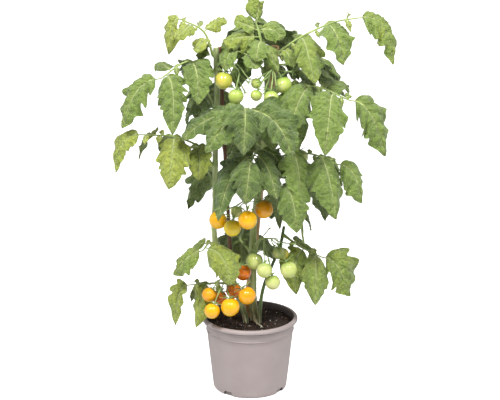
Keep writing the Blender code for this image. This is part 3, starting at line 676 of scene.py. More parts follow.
def moulded_polypropylene():
    """Injection-moulded polypropylene: taupe, satin, with a faint orange peel, dust and handling marks.

    Its inside, where the surface faces the pot's axis, is darkened with painted shade.
    """
    made, tree, shader = new_material("moulded_polypropylene")
    dust = mottle(tree, 26.0, 4.0)
    scuffs = wired(tree, "range", mottle(tree, 2.2, 6.0), 0.68, 0.80, 0.0, 0.25)
    facing = wired(tree, "ShaderNodeNewGeometry", out="Normal")
    place = wired(tree, "ShaderNodeTexCoord", out="Object")
    outward = wired(tree, "ShaderNodeVectorMath", place, facing, out="Value", operation="DOT_PRODUCT")
    # Painted shade: surfaces that face the pot's axis, the inner wall, are darkened towards #2A211D
    painted_inner_shade = wired(tree, "range", outward, -0.02, 0.03, 0.75, 0.0)
    colour = wired(tree, "mix", wired(tree, "range", dust, 0.3, 0.75), "#9A8E8C", "#A09492")
    colour = wired(tree, "mix", scuffs, colour, "#C4BCBA")
    fill(shader, {
        "Base Color": wired(tree, "mix", painted_inner_shade, colour, "#2A211D"),
        "Roughness": wired(tree, "range", dust, 0.25, 0.75, 0.40, 0.52),
        "Normal": wired(tree, "relief", mottle(tree, 1.6, 2.0), 0.05 * MM),
    })
    return made


def ground(name, dark, light, size, roughness=0.95, relief=0.8):
    """Growing medium or a bit of it: dull, broken colour between two shades, in lumps of the given size."""
    made, tree, shader = new_material(name)
    lumps = mottle(tree, size, 5.0)
    fill(shader, {
        "Base Color": wired(tree, "mix", wired(tree, "range", lumps, 0.35, 0.7), dark, light),
        "Normal": wired(tree, "relief", lumps, relief * MM),
        "Roughness": roughness,
    })
    return made


def planed_wood(name, pale, grain_colour, grain_width):
    """Turned softwood or a peeled cane: dry, unvarnished, with grain along its length.

    Grain finer than a millimetre would not show, so it is drawn as wide as given.
    """
    made, tree, shader = new_material(name)
    grain = mottle(tree, 1.0, 5.0, stretch=drawn_out(tree, 14.0 / grain_width, 0.02))
    fill(shader, {
        "Base Color": wired(tree, "mix", wired(tree, "range", grain, 0.35, 0.65), pale, grain_colour),
        "Normal": wired(tree, "relief", grain, 0.25 * MM),
        "Roughness": 0.68,
    })
    return made


def matt_backdrop():
    """White paper floor, burnt out to plain white where it is seen, that throws little light of its own."""
    made, tree, shader = new_material("matt_white_backdrop")
    seen = wired(tree, "ShaderNodeLightPath", out="Is Camera Ray")
    fill(shader, {
        "Base Color": "#D8D8D8",
        "Roughness": 0.9,
        "Emission Color": "#FFFFFF",
        "Emission Strength": wired(tree, "range", seen, 0.0, 1.0, FLOOR_GLOW, 1.0),
    })
    return made


# ---------------------------------------------------------------- geometry trees

def new_tree(name, inputs):
    """A Geometry Nodes tree with a geometry in and out, and the named inputs. Returns it and its inputs."""
    tree = bpy.data.node_groups.new(name, "GeometryNodeTree")
    tree.interface.new_socket("Geometry", in_out="INPUT", socket_type="NodeSocketGeometry")
    tree.interface.new_socket("Geometry", in_out="OUTPUT", socket_type="NodeSocketGeometry")
    for label, kind in inputs.items():
        tree.interface.new_socket(label, in_out="INPUT", socket_type=f"NodeSocket{kind}")
    return tree, tree.nodes.new("NodeGroupInput").outputs


def close_tree(tree, shape, material):
    """Ends a tree: real geometry, smooth, with its material."""
    real = wired(tree, "GeometryNodeRealizeInstances", {"Geometry": shape})
    smooth = wired(tree, "GeometryNodeSetShadeSmooth", {"Geometry": real})
    painted = wired(tree, "GeometryNodeSetMaterial", {"Geometry": smooth, "Material": material})
    fill(tree.nodes.new("NodeGroupOutput"), {0: painted})
    return tree


def grown(source, tree, inputs):
    """The plain mesh that a tree makes from a mesh, with its inputs given by name."""
    carrier = object_of(f"{tree.name}_carrier", source)
    modifier = carrier.modifiers.new(tree.name, "NODES")
    modifier.node_group = tree
    for item in tree.interface.items_tree:
        if item.in_out == "INPUT" and item.name in inputs:
            modifier[item.identifier] = inputs[item.name]
    graph = bpy.context.evaluated_depsgraph_get()
    mesh = bpy.data.meshes.new_from_object(carrier.evaluated_get(graph), preserve_all_data_layers=True,
                                           depsgraph=graph)
    carrier.modifiers.remove(modifier)
    bpy.data.objects.remove(carrier)
    return mesh


def tomato_tree():
    """A tomato about its axis: a ball with a sunken stalk end, faint lobes and lumps."""
    tree, entry = new_tree("tomato_body", {
        "Diameter": "Float", "Dimple": "Float", "Lobes": "Float", "Lobing": "Float", "Lumps": "Float",
        "Seed": "Float", "Material": "Material"})
    ball = wired(tree, "GeometryNodeMeshUVSphere", {"Segments": 48, "Rings": 32, "Radius": 1.0})
    place = wired(tree, "GeometryNodeInputPosition")
    x, y, z = wired(tree, "ShaderNodeSeparateXYZ", place).node.outputs
    squares = [wired(tree, "MULTIPLY", value, value) for value in (x, y)]
    out = wired(tree, "SQRT", wired(tree, "ADD", *squares))
    turn = wired(tree, "MULTIPLY", wired(tree, "ARCTAN2", y, x), entry["Lobes"])
    upper = wired(tree, "MULTIPLY", wired(tree, "MAXIMUM", z, 0.0), out)
    ridges = wired(tree, "MULTIPLY", wired(tree, "COSINE", turn), upper)
    lobes = wired(tree, "MULTIPLY", ridges, entry["Lobing"])
    noise = wired(tree, "ShaderNodeTexNoise",
                  {"Vector": place, "W": entry["Seed"], "Scale": 0.9, "Detail": 1.0}, noise_dimensions="4D")
    lumps = wired(tree, "MULTIPLY", wired(tree, "SUBTRACT", noise, 0.5), entry["Lumps"])
    scale = wired(tree, "ADD", wired(tree, "ADD", lobes, lumps), 1.0)
    spread = wired(tree, "MULTIPLY", wired(tree, "POWER", wired(tree, "DIVIDE", out, 0.36), 2.0), -1.0)
    hollow = wired(tree, "MULTIPLY", wired(tree, "EXPONENT", spread), wired(tree, "GREATER_THAN", z, 0.0))
    sunk = wired(tree, "MULTIPLY", wired(tree, "MULTIPLY", hollow, entry["Dimple"]), -2.0)
    dimple = wired(tree, "ShaderNodeCombineXYZ", {"Z": sunk})
    moved = wired(tree, "ShaderNodeVectorMath", wired(tree, "scaled", place, scale), dimple, operation="ADD")
    marked = wired(tree, "GeometryNodeStoreNamedAttribute",
                   {"Geometry": ball, "Name": "shoulder", "Value": z}, data_type="FLOAT", domain="POINT")
    shaped = wired(tree, "GeometryNodeSetPosition", {"Geometry": marked, "Position": moved})
    half = wired(tree, "MULTIPLY", entry["Diameter"], 0.5)
    size = wired(tree, "ShaderNodeCombineXYZ", half, half, half)
    sized = wired(tree, "GeometryNodeTransform", {"Geometry": shaped, "Scale": size})
    return close_tree(tree, sized, entry["Material"])


def scatter_tree():
    """Copies of a small shape strewn over a surface, each turned and sized by chance."""
    tree, entry = new_tree("scatter", {
        "Shape": "Object", "Density": "Float", "Smallest": "Float", "Largest": "Float", "Lean": "Float",
        "Seed": "Int", "Material": "Material"})
    points = wired(tree, "GeometryNodeDistributePointsOnFaces",
                   {"Mesh": entry["Geometry"], "Density": entry["Density"], "Seed": entry["Seed"]})
    most = wired(tree, "ShaderNodeCombineXYZ", entry["Lean"], entry["Lean"], math.pi)
    chance = wired(tree, "FunctionNodeRandomValue",
                   {"Min": wired(tree, "scaled", most, -1.0), "Max": most, "Seed": entry["Seed"]},
                   data_type="FLOAT_VECTOR")
    turned = wired(tree, "FunctionNodeRotateRotation",
                   {"Rotation": points.node.outputs["Rotation"],
                    "Rotate By": wired(tree, "FunctionNodeEulerToRotation", chance)}, rotation_space="LOCAL")
    size = wired(tree, "FunctionNodeRandomValue",
                 {2: entry["Smallest"], 3: entry["Largest"], "Seed": entry["Seed"]}, out=1, data_type="FLOAT")
    shape = wired(tree, "GeometryNodeObjectInfo", {"Object": entry["Shape"]}, out="Geometry")
    copies = wired(tree, "GeometryNodeInstanceOnPoints",
                   {"Points": points, "Instance": shape, "Rotation": turned, "Scale": size})
    return close_tree(tree, copies, entry["Material"])


def calyx_tree():
    """A ring of sepals at each point, square to the point's own axis and as large as its size says."""
    tree, entry = new_tree("calyx", {
        "Sepal": "Object", "Count": "Int", "Uneven": "Float", "Seed": "Int", "Material": "Material"})
    ring = wired(tree, "GeometryNodeMeshCircle", {"Vertices": entry["Count"], "Radius": 0.6 * MM})
    step = wired(tree, "DIVIDE", 2 * math.pi, entry["Count"])
    spin = wired(tree, "MULTIPLY", step, wired(tree, "GeometryNodeInputIndex"))
    against = wired(tree, "MULTIPLY", entry["Uneven"], -1.0)
    tilt = wired(tree, "FunctionNodeRandomValue", {2: against, 3: entry["Uneven"], "Seed": entry["Seed"]},
                 out=1, data_type="FLOAT")
    turn = wired(tree, "ShaderNodeCombineXYZ", tilt, tilt, spin)
    shape = wired(tree, "GeometryNodeObjectInfo", {"Object": entry["Sepal"]}, out="Geometry")
    star = wired(tree, "GeometryNodeInstanceOnPoints", {"Points": ring, "Instance": shape, "Rotation": turn})
    axis = wired(tree, "GeometryNodeInputNamedAttribute", {"Name": "axis"}, data_type="FLOAT_VECTOR")
    size = wired(tree, "GeometryNodeInputNamedAttribute", {"Name": "size"}, data_type="FLOAT")
    upright = wired(tree, "FunctionNodeAlignRotationToVector", {"Vector": axis}, axis="Z")
    stars = wired(tree, "GeometryNodeInstanceOnPoints",
                  {"Points": entry["Geometry"], "Instance": star, "Rotation": upright, "Scale": size})
    return close_tree(tree, stars, entry["Material"])


# ---------------------------------------------------------------- leaves

def stalk_start(curves, stem, height, towards):
    """Where a stalk meets its stem's skin, and the way it leaves, square to the stem."""
    share = curves[stem].share_at_height(height)
    centre = curves[stem].at(share)
    along = curves[stem].direction(share)
    outward = square_to(np.asarray(towards, float) - centre, along)
    foot, top = STEMS[stem]["radii"]
    return centre + outward * (foot + (top - foot) * share + STEM_GAP), outward


def blade_facing(angle, reach):
    """The way a blade's upper side looks: up, and out between the leaf's facing and the blade's reach."""
    faces = level_direction(angle)
    outward = unit((reach[0], reach[1], 0.0))
    return unit((1.0 + faces.dot(outward)) * faces + outward) + BLADE_RISE * UP


def blade_outline(along, phase, veins, side, rng):
    """Half width of a blade, as a share of the most: full near the foot and drawn out to the tip.

    Its uneven lobes lie between sinuses halfway from one lateral vein to the next, and fade out
    above the middle.
    """
    whole = along ** 0.2 * (1 - along) ** 0.8 / 0.606
    numbers = np.arange(veins + 2)
    fading = np.maximum(1 - numbers / (0.9 * veins), 0.12)
    depths = rng.uniform(*LOBE_DEPTHS, (2, len(numbers))) * fading
    depth = depths[np.where(side < 0, 0, 1)[None, :], np.rint(phase).astype(int)]
    sinus = np.abs(np.cos(math.pi * phase)) ** 3.5
    return whole * (1 - depth * sinus)


def add_leaflet(skin, start, direction, tip, width, facing, tint, rng, rib_radius):
    """Adds a leaflet: its stalk and midrib, and a blade that follows them, folded, quilted and lobed."""
    reach = tip - start
    span = np.linalg.norm(reach)
    level = np.array((reach[0], reach[1], 0.0))
    control = start + 0.175 * span * unit(direction) + 0.5 * level
    control = control + UP * (BLADE_BOW * span + 0.5 * max(reach[2], 0.0))

    def middle_line(way):
        way = way[:, None]
        line = (1 - way) ** 2 * start + 2 * way * (1 - way) * control + way ** 2 * tip
        return line, unit((1 - way) * (control - start) + way * (tip - control))

    rows = int(np.clip(span * 0.85, 12, 54))
    half_columns = int(np.clip(width * 0.28, 4, 12))
    along = np.linspace(0.0, 1.0, rows)
    across = np.linspace(-1.0, 1.0, 2 * half_columns + 1)
    side = np.sign(across)
    share = np.abs(across)
    middle, heading = middle_line(BLADE_START + (1 - BLADE_START) * along)
    level_normal = square_to(np.broadcast_to(facing, heading.shape), heading)
    twist = math.radians(rng.uniform(-BLADE_TWIST, BLADE_TWIST)) * (along - 0.3)[:, None]
    normal = level_normal * np.cos(twist) + np.cross(heading, level_normal) * np.sin(twist)
    right = np.cross(heading, normal)
    aside = rng.uniform(-BLADE_ASIDE, BLADE_ASIDE) * span * np.sin(math.pi * along)
    middle = middle + right * aside[:, None]

    veins = int(np.clip(round(span / VEIN_SPACING), 3, 6))
    phase = along[:, None] * veins + np.where(across < 0, 0.0, rng.uniform(0.2, 0.5))
    lean = 1 + rng.uniform(-BLADE_UNEVEN, BLADE_UNEVEN) * side
    half_width = BLADE_FULLNESS * width / 2 * blade_outline(along[:, None], phase, veins, side, rng) * lean
    half_width = np.maximum(half_width, 0.5)
    out = share * half_width
    sweep = (0.22 + 0.42 * np.minimum(along / 0.25, 1.0))[:, None]
    forward = sweep * out * (0.8 + 0.3 * share)

    size = width / 45
    fold = rng.uniform(*BLADE_FOLDS)
    groove = 0.20 * np.sin(math.pi * np.minimum(share / 0.8, 1.0))
    open_field = np.sin(math.pi * share ** 0.7)
    quilt = rng.uniform(*QUILT_HEIGHTS) * size * open_field * (np.abs(np.cos(math.pi * phase)) ** 1.3 - 0.5)
    pucker = rng.uniform(*PUCKER_HEIGHTS) * size * open_field * np.sin(4 * math.pi * phase + 3 * share)
    pucker = pucker * np.sin(15 * share + 2 * side)
    wave = rng.uniform(*EDGE_WAVES) * share ** 3 * np.sin(math.pi * phase + rng.uniform(0, 6))
    sway = rng.uniform(0.0, EDGE_SWAY) * span * np.sin(2 * math.pi * along + rng.uniform(0, 6))
    height = half_width * (groove - fold * share ** 2 + wave) + quilt + pucker + sway[:, None] * share
    grid = (middle[:, None] + heading[:, None] * forward[..., None]
            + right[:, None] * (side * out * (1 - 0.3 * abs(fold) * share))[..., None]
            + normal[:, None] * height[..., None])

    points, faces = sheet(grid, grid - normal[:, None] * BLADE_THICKNESS)
    uvs = np.tile(np.stack((phase, side * out), axis=-1).reshape(-1, 2), (2, 1))
    skin.add(points, [(faces, uvs[faces])], tint=tint, underside=np.repeat((0.0, 1.0), len(points) // 2),
             along=np.tile(np.repeat(along, len(across)), 2))

    way = np.linspace(0.0, 0.93, 16)
    rib, rib_heading = middle_line(way)
    rib_normal = square_to(np.broadcast_to(facing, rib.shape), rib_heading)
    radii = rib_radius * (1 - 0.8 * way)
    below = np.minimum(way / BLADE_START, 1.0) * (radii + 0.5 * BLADE_THICKNESS)
    skin.add_tube(rib - rib_normal * below[:, None], radii, 6, slot=1, tint=tint)


def add_stalk(skin, curve, outward, end_radii, swelling, rings, sides, **values):
    """Adds a stalk that tapers along its curve, swells at its foot and starts inside its stem's skin."""
    shares = np.linspace(0.0, 1.0, rings)
    foot, top = end_radii
    centres = curve.at(shares)
    centres[0] -= outward * 2 * STEM_GAP
    radii = (foot + (top - foot) * shares) * (1 + swelling * np.exp(-shares * curve.length / 4.0))
    skin.add_tube(centres, radii, sides, **values)


def make_leaf(name, leaf, curves, materials, rng):
    """A compound leaf: a stalk, leaflets along it and at its end, and tiny ones between them."""
    start, outward = stalk_start(curves, leaf["stem"], leaf["height"], leaf["stalk"][0])
    curve = SmoothCurve([start, *leaf["stalk"]])
    skin = Skin()
    add_stalk(skin, curve, outward, STALK_RADII, 0.7, 42, 12, slot=1, tint=leaf["tint"])
    for number, (share, tip, width) in enumerate((*leaf["sides"], (1.0, *leaf["end"]))):
        tip = np.array(tip, float)
        at = curve.at(share)
        sway = BLADE_TURN * math.sin(2.4 * number + leaf["height"])
        facing = blade_facing(leaf["faces"] + sway, tip - at)
        direction = curve.direction(1.0) if share == 1.0 else square_to(tip - at, curve.direction(share))
        tint = leaf["tint"] + rng.uniform(-0.08, 0.08)
        add_leaflet(skin, at, direction, tip, width, facing, tint, rng, 0.9)
    places = sorted({0.0, 1.0, *(share for share, _, _ in leaf["sides"])})
    for before, after in zip(places, places[1:]):
        if (after - before) * curve.length < TINY_LEAFLET_ROOM:
            continue
        for hand in (-1, 1):
            share = before + (after - before) * rng.uniform(0.45, 0.8)
            at = curve.at(share)
            along = curve.direction(share)
            length = rng.uniform(*TINY_LEAFLET_LENGTHS)
            sideways = hand * unit(np.cross(along, UP + level_direction(leaf["faces"])))
            tip = at + length * (0.75 * sideways + 0.35 * along - rng.uniform(0.1, 0.6) * UP)
            add_leaflet(skin, at, sideways, tip, 0.62 * length, blade_facing(leaf["faces"], tip - at),
                        leaf["tint"] + 0.1, rng, 0.5)
    finished(f"{name}_fine", skin.mesh(f"{name}_fine", materials), "leaf", name)


# ---------------------------------------------------------------- stems and supports

def make_stem(name, stem, curve, joints, materials, rng):
    """A ribbed stem, swollen where leaves and trusses leave it, and knobbly low down from old roots.

    The left stem ends in a cut, and the main stem has a bare root at its foot.
    """
    sides = 30
    rings = int(curve.length / 2.0)
    shares = np.linspace(0.0, 1.0, rings)
    centres = curve.at(shares)
    foot, top = stem["radii"]
    radius = foot + (top - foot) * shares
    angles = 2 * math.pi * np.arange(sides) / sides
    swelling = sum(0.16 * np.exp(-((centres[:, 2] - height) / 4.5) ** 2) for height in joints)
    ribs = 0.055 * np.cos(5 * angles[None, :] + 2.5 * shares[:, None] + rng.uniform(0, 6))
    knobs = np.zeros((rings, sides))
    for _ in range(22):
        height = SOIL_LEVEL + rng.exponential(16)
        angle = rng.uniform(0, 2 * math.pi)
        near = np.cos(angles - angle)[None, :]
        lift = np.exp(-((centres[:, 2] - height) / 1.8) ** 2)[:, None]
        knobs += rng.uniform(0.08, 0.22) * lift * np.maximum(near, 0.0) ** 8
    skin = Skin()
    skin.add_tube(centres, radius[:, None] * (1 + swelling[:, None] + ribs + knobs), sides)
    if name == "stem_left":
        end, up = centres[-1], curve.direction(1.0)
        skin.add_tube([end - up * 0.2, end + up * 0.3], [top * 0.72, top * 0.66], 18, slot=1)
    if name == "stem_main":
        root = SmoothCurve(BARE_ROOT)
        shares = np.linspace(0, 1, 18)
        skin.add_tube(root.at(shares), 2.3 - 1.6 * shares + 0.25 * np.sin(shares * 21), 9, slot=1)
    finished(f"{name}_fine", skin.mesh(f"{name}_fine", materials), "stem", name)


def make_rod(name, ends, radius, wobble, materials, rng):
    """A round rod with long shallow flats, and a flat cut end."""
    sides = 28
    low, high = (np.array(end, float) for end in ends)
    shares = np.concatenate((np.linspace(0.0, 0.997, 60), (1.0,)))
    centres = low + (high - low) * shares[:, None]
    angles = 2 * math.pi * np.arange(sides) / sides
    radii = radius * (1 + wobble * np.cos(3 * angles[None, :] + 5 * shares[:, None] + rng.uniform(0, 6))
                      + wobble * np.sin(23 * shares)[:, None])
    radii[-1] *= 0.94
    skin = Skin()
    skin.add_tube(centres, radii, sides)
    up = unit(high - low)
    skin.add_tube([high - up * 0.4, high + up * 0.15], [radius * 0.93, radius * 0.88], sides, slot=1)
    finished(f"{name}_fine", skin.mesh(f"{name}_fine", materials), name, name)


# ---------------------------------------------------------------- fruit

def hanging_axis(curve, share, centre):
    """A fruit's axis: it leans from upright towards the place that it hangs from."""
    return unit(unit(curve.at(share) - centre) + 0.6 * UP)


def turned_to(axis, centre):
    """The matrix that stands a mesh's Z along an axis and moves it to a centre given in millimetres."""
    turn = Vector((0, 0, 1)).rotation_difference(Vector(axis)).to_matrix().to_4x4()
    return Matrix.Translation(Vector(centre) * MM) @ turn


def add_pedicel(skin, start, direction, end, axis, knuckle=KNUCKLE_RADIUS):
    """Adds a fruit's own stalk: thin, bent, with a swollen knuckle past its middle and a wider end."""
    span = np.linalg.norm(end - start)
    away = start + unit(direction) * span * 0.3
    above = end + axis * span * 0.35
    way = np.linspace(0.0, 1.0, 22)[:, None]
    rest = 1 - way
    line = rest ** 3 * start + 3 * rest ** 2 * way * away + 3 * rest * way ** 2 * above + way ** 3 * end
    way = way[:, 0]
    radii = PEDICEL_RADIUS + (knuckle - PEDICEL_RADIUS) * np.exp(-((way - 0.62) / 0.06) ** 2)
    radii = radii + 0.9 * np.exp(-(1 - way) / 0.05)
    skin.add_tube(line, radii, 8)


def make_truss(name, truss, curves, trees, materials, sepal):
    """A truss: its stalk, each fruit on its own bent stalk under its sepals, and spent flower stalks."""
    start, outward = stalk_start(curves, truss["stem"], truss["height"], truss["stalk"][0])
    curve = SmoothCurve([start, *truss["stalk"]])
    skin = Skin()
    add_stalk(skin, curve, outward, PEDUNCLE_RADII, 0.6, 30, 10)
    stars = []
    for number, (share, look) in enumerate(zip(truss["places"], truss["skins"])):
        node = f"{name.replace('truss', 'tomato')}_{number + 1}"
        low, high = (np.array(corner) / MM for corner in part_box(node))
        centre = (low + high) / 2
        diameter = (high - low).max()
        axis = hanging_axis(curve, share, centre)
        end = centre + axis * diameter / 2 * (1 - 2 * FRUIT_DIMPLE)
        along = curve.direction(share)
        direction = along if share == 1.0 else square_to(centre - curve.at(share), along)
        add_pedicel(skin, curve.at(share), direction, end, axis)
        stars.append((end + axis * 0.6, axis, diameter / FULL_FRUIT))
        mesh = grown(bpy.data.meshes.new(node), trees["tomato"], {
            "Diameter": diameter * MM, "Dimple": FRUIT_DIMPLE, "Lobes": 5.0, "Lobing": 0.018, "Lumps": 0.06,
            "Seed": 3.1 * number + truss["height"], "Material": materials[look]})
        mesh.transform(turned_to(axis, centre))
        slot = "fruit_unripe" if look in ("green", "pale", "turning") else "fruit_ripe"
        finished(f"{node}_fine", mesh, slot, node)
    for share, end in truss["spent"]:
        end = np.array(end, float)
        direction = square_to(end - curve.at(share), curve.direction(share))
        axis = unit(unit(curve.at(share) - end) - 0.2 * UP)
        add_pedicel(skin, curve.at(share), direction, end, axis, knuckle=1.0)
        stars.append((end, -axis, 0.6))
    finished(f"{name}_fine", skin.mesh(f"{name}_fine", [materials["stalk"]]), "stem", name)

    points = bpy.data.meshes.new(f"{name}_sepals")
    points.from_pydata([Vector(place) * MM for place, _, _ in stars], [], [])
    axes = points.attributes.new("axis", "FLOAT_VECTOR", "POINT")
    axes.data.foreach_set("vector", np.concatenate([axis for _, axis, _ in stars]).astype(np.float32))
    sizes = points.attributes.new("size", "FLOAT", "POINT")
    sizes.data.foreach_set("value", [size for _, _, size in stars])
    mesh = grown(points, trees["calyx"], {
        "Sepal": sepal, "Count": 5, "Uneven": 0.22, "Seed": len(name), "Material": materials["sepal"]})
    finished(f"{name}_sepals", mesh, "stem")


def sepal_shape():
    """One long narrow sepal that rises and curls back at its tip; +X is away from the stalk."""
    rows = 9
    along = np.linspace(0.0, 1.0, rows)
    half = 1.35 * np.sin(math.pi * np.clip(along, 0.06, 0.98)) ** 0.7 * (1 - 0.45 * along)
    lift = 2.6 * np.sin(math.pi * along * 0.75) + 3.0 * along ** 3
    centre = np.stack((SEPAL_LENGTH * along, np.zeros(rows), lift), axis=1)
    side = np.stack((np.zeros(rows), half, 0.5 * half), axis=1)
    grid = np.stack((centre + side * (1, -1, 1), centre, centre + side), axis=1)
    points, faces = sheet(grid, grid - SEPAL_THICKNESS * UP)
    skin = Skin()
    skin.add(points, [(faces, np.zeros((*faces.shape, 2)))])
    return object_of("sepal_shape", skin.mesh("sepal_shape", []))


# ---------------------------------------------------------------- peat and pot

def turned_body(profile, sides):
    """Points and face groups of a profile turned about Z, from the axis out, up and back to the axis."""
    radii, heights = np.array(profile, float).T
    rows = len(radii) - 2
    angles = 2 * math.pi * np.arange(sides) / sides
    rings = np.stack((radii[1:-1, None] * np.cos(angles), radii[1:-1, None] * np.sin(angles),
                      np.broadcast_to(heights[1:-1, None], (rows, sides))), axis=-1)
    points = np.vstack((rings.reshape(-1, 3), (0, 0, heights[0]), (0, 0, heights[-1])))
    groups = (grid_faces(rows, sides, wrap=True), *end_fans(rows, sides))
    return points, [(faces, np.zeros((*faces.shape, 2))) for faces in groups]


def arc(centre, radius, start, end, steps):
    """Points of an arc in (radius, height), from one angle to another in degrees."""
    angles = np.radians(np.linspace(start, end, steps))
    return [(centre[0] + radius * math.cos(angle), centre[1] + radius * math.sin(angle)) for angle in angles]


def pot_profile():
    """The pot's section: foot, tapered wall, collar with its step, rolled rim, and the same inside."""
    collar_low = POT_HEIGHT - COLLAR_HEIGHT
    rim_low = POT_HEIGHT - RIM_HEIGHT
    rim_round = RIM_HEIGHT / 2
    foot_centre = (FOOT_RADIUS - FOOT_ROUND, FOOT_ROUND)
    wall_top = COLLAR_RADIUS - COLLAR_STEP
    taper = (wall_top - FOOT_RADIUS) / (collar_low - FOOT_ROUND)
    wall = [(FOOT_RADIUS + taper * (height - FOOT_ROUND), height)
            for height in np.linspace(FOOT_ROUND, collar_low, 12)[1:]]
    step = arc((wall_top + 0.15, collar_low + 0.75), COLLAR_STEP, 10, 80, 4)
    step = [(min(out, COLLAR_RADIUS), height) for out, height in step]
    collar = [(COLLAR_RADIUS + 0.6, rim_low - 0.4)]
    rim = arc((RIM_RADIUS - rim_round, rim_low + rim_round), rim_round, -75, 115, 18)
    lip = [(COLLAR_RADIUS - WALL + 1.6, POT_HEIGHT - 0.9), (COLLAR_RADIUS - WALL + 0.9, POT_HEIGHT - 2.2)]
    inside = [(COLLAR_RADIUS - WALL + 0.6, rim_low), (COLLAR_RADIUS - WALL, collar_low + COLLAR_STEP),
              (wall_top - WALL, collar_low)]
    inside += [(out - WALL, height) for out, height in reversed(wall[:-1])]
    inside += arc(foot_centre, FOOT_ROUND - WALL, 0, -60, 5)
    inside += [(foot_centre[0] - 2, FLOOR), (0, FLOOR)]
    return ([(0, 0)] + arc(foot_centre, FOOT_ROUND, -90, 0, 9) + wall + step + collar + rim + lip + inside)


def make_pot(material):
    skin = Skin()
    skin.add(*turned_body(pot_profile(), POT_SIDES))
    pot = object_of("pot_body", skin.mesh("pot_fine", [material], smooth_angle=50))
    cutters = []
    for number, angle in enumerate(NOTCH_ANGLES):
        half = NOTCH_WIDTH / 2
        turn = math.radians(angle - 90)
        outward = np.array((math.cos(turn), math.sin(turn), 0.0))
        sideways = np.array((-math.sin(turn), math.cos(turn), 0.0))
        half_top = half - NOTCH_SLANT
        outline = ((-half, -2.0), (half, -2.0), (half_top, NOTCH_HEIGHT), (-half_top, NOTCH_HEIGHT))
        points = [Vector(outward * reach + sideways * side + UP * height) * MM
                  for reach in (FOOT_RADIUS - 7.0, FOOT_RADIUS + 7.0) for side, height in outline]
        faces = [(3, 2, 1, 0), (4, 5, 6, 7), *((s, (s + 1) % 4, (s + 1) % 4 + 4, s + 4) for s in range(4))]
        mesh = bpy.data.meshes.new(f"notch_{number + 1}")
        mesh.from_pydata(points, [], faces)
        cutters.append(object_of(mesh.name, mesh))
        boolean = pot.modifiers.new(mesh.name, "BOOLEAN")
        boolean.operation = "DIFFERENCE"
        boolean.solver = "EXACT"
        boolean.object = cutters[-1]
    graph = bpy.context.evaluated_depsgraph_get()
    mesh = bpy.data.meshes.new_from_object(pot.evaluated_get(graph), depsgraph=graph)
    for helper in (pot, *cutters):
        bpy.data.objects.remove(helper)
    finished("pot_fine", mesh, "pot", "pot")
    foot = Skin()
    out = FOOT_RADIUS - FOOT_RECESS
    foot.add(*turned_body([(0, 0.4), (out, 0.4), (out, NOTCH_HEIGHT + 3), (0, NOTCH_HEIGHT + 3)], POT_SIDES))
    finished("pot_foot", foot.mesh("pot_foot", [material], smooth_angle=50), "pot")


def soil_height(x, y):
    """Height of the peat's surface: gentle lumps about its level, with smaller ones on them."""
    lumps = np.sin(x / 9.0 + 1.0) * np.cos(y / 11.0) + 0.6 * np.sin((x + y) / 6.0)
    small = np.sin(x / 2.3 + np.cos(y / 3.1) * 2) * np.cos(y / 2.7 + np.sin(x / 4.3) * 2)
    return SOIL_LEVEL + 0.6 * SOIL_LUMP * lumps + 0.5 * SOIL_LUMP * small


def crumb_shape(name, lengths, rng):
    """A small rough lump: an icosahedron with its corners pushed about, squashed to the given lengths."""
    golden = (1 + 5 ** 0.5) / 2
    corners = unit([(x, y * golden, 0) for x in (-1, 1) for y in (-1, 1)]
                   + [(0, x, y * golden) for x in (-1, 1) for y in (-1, 1)]
                   + [(y * golden, 0, x) for x in (-1, 1) for y in (-1, 1)])
    faces = []
    for first in range(12):
        near = [other for other in range(12) if 0.1 < np.linalg.norm(corners[other] - corners[first]) < 1.2]
        for second in near:
            for third in near:
                trio = (first, second, third)
                spin = np.dot(np.cross(corners[second], corners[third]), corners[first])
                if first == min(trio) and spin > 0 and np.linalg.norm(corners[second] - corners[third]) < 1.2:
                    faces.append(trio)
    points = corners * rng.uniform(0.7, 1.15, (12, 1)) * np.array(lengths) / 2
    mesh = bpy.data.meshes.new(name)
    mesh.from_pydata((points * MM).tolist(), [], faces)
    return object_of(name, mesh)


def make_soil(trees, materials, rng):
    """Peat that fills the pot, with crumbs, fibres and perlite strewn on it."""
    collar_low = POT_HEIGHT - COLLAR_HEIGHT
    rings = 44
    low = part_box("soil")[0].z / MM
    profile = [(0, low), (FOOT_RADIUS - FOOT_ROUND - 2, low), (FOOT_RADIUS - WALL - 0.8, FOOT_ROUND + 1.0),
               (SOIL_RADIUS - COLLAR_STEP, collar_low), (SOIL_RADIUS, collar_low + 1.5)]
    profile += [(SOIL_RADIUS * share, SOIL_LEVEL) for share in np.linspace(1.0, 0.02, rings)]
    profile += [(0, SOIL_LEVEL)]
    points, groups = turned_body(profile, 150)
    raised_part = points[:, 2] > collar_low + 2
    points[raised_part, 2] = soil_height(points[raised_part, 0], points[raised_part, 1])
    skin = Skin()
    skin.add(points, groups)
    finished("soil_fine", skin.mesh("soil_fine", [materials["peat"]]), "soil", "soil")

    for number, (name, bits) in enumerate(STREWN.items()):
        surface = Skin()
        inner = np.linspace(0.985, 0.02, rings)
        points, groups = turned_body([(0, 0), *((SOIL_RADIUS * share, 0) for share in inner), (0, 0)], 60)
        points[:, 2] = soil_height(points[:, 0], points[:, 1])
        surface.add(points, [groups[0], groups[2]])
        shape = crumb_shape(f"{name}_shape", bits["lengths"], rng)
        smallest, largest = bits["sizes"]
        mesh = grown(surface.mesh("peat_surface", []), trees["scatter"], {
            "Shape": shape, "Density": bits["density"], "Smallest": smallest, "Largest": largest,
            "Lean": bits["lean"], "Seed": 11 + number, "Material": materials[bits["look"]]})
        bpy.data.objects.remove(shape)
        finished(name, mesh, "soil")


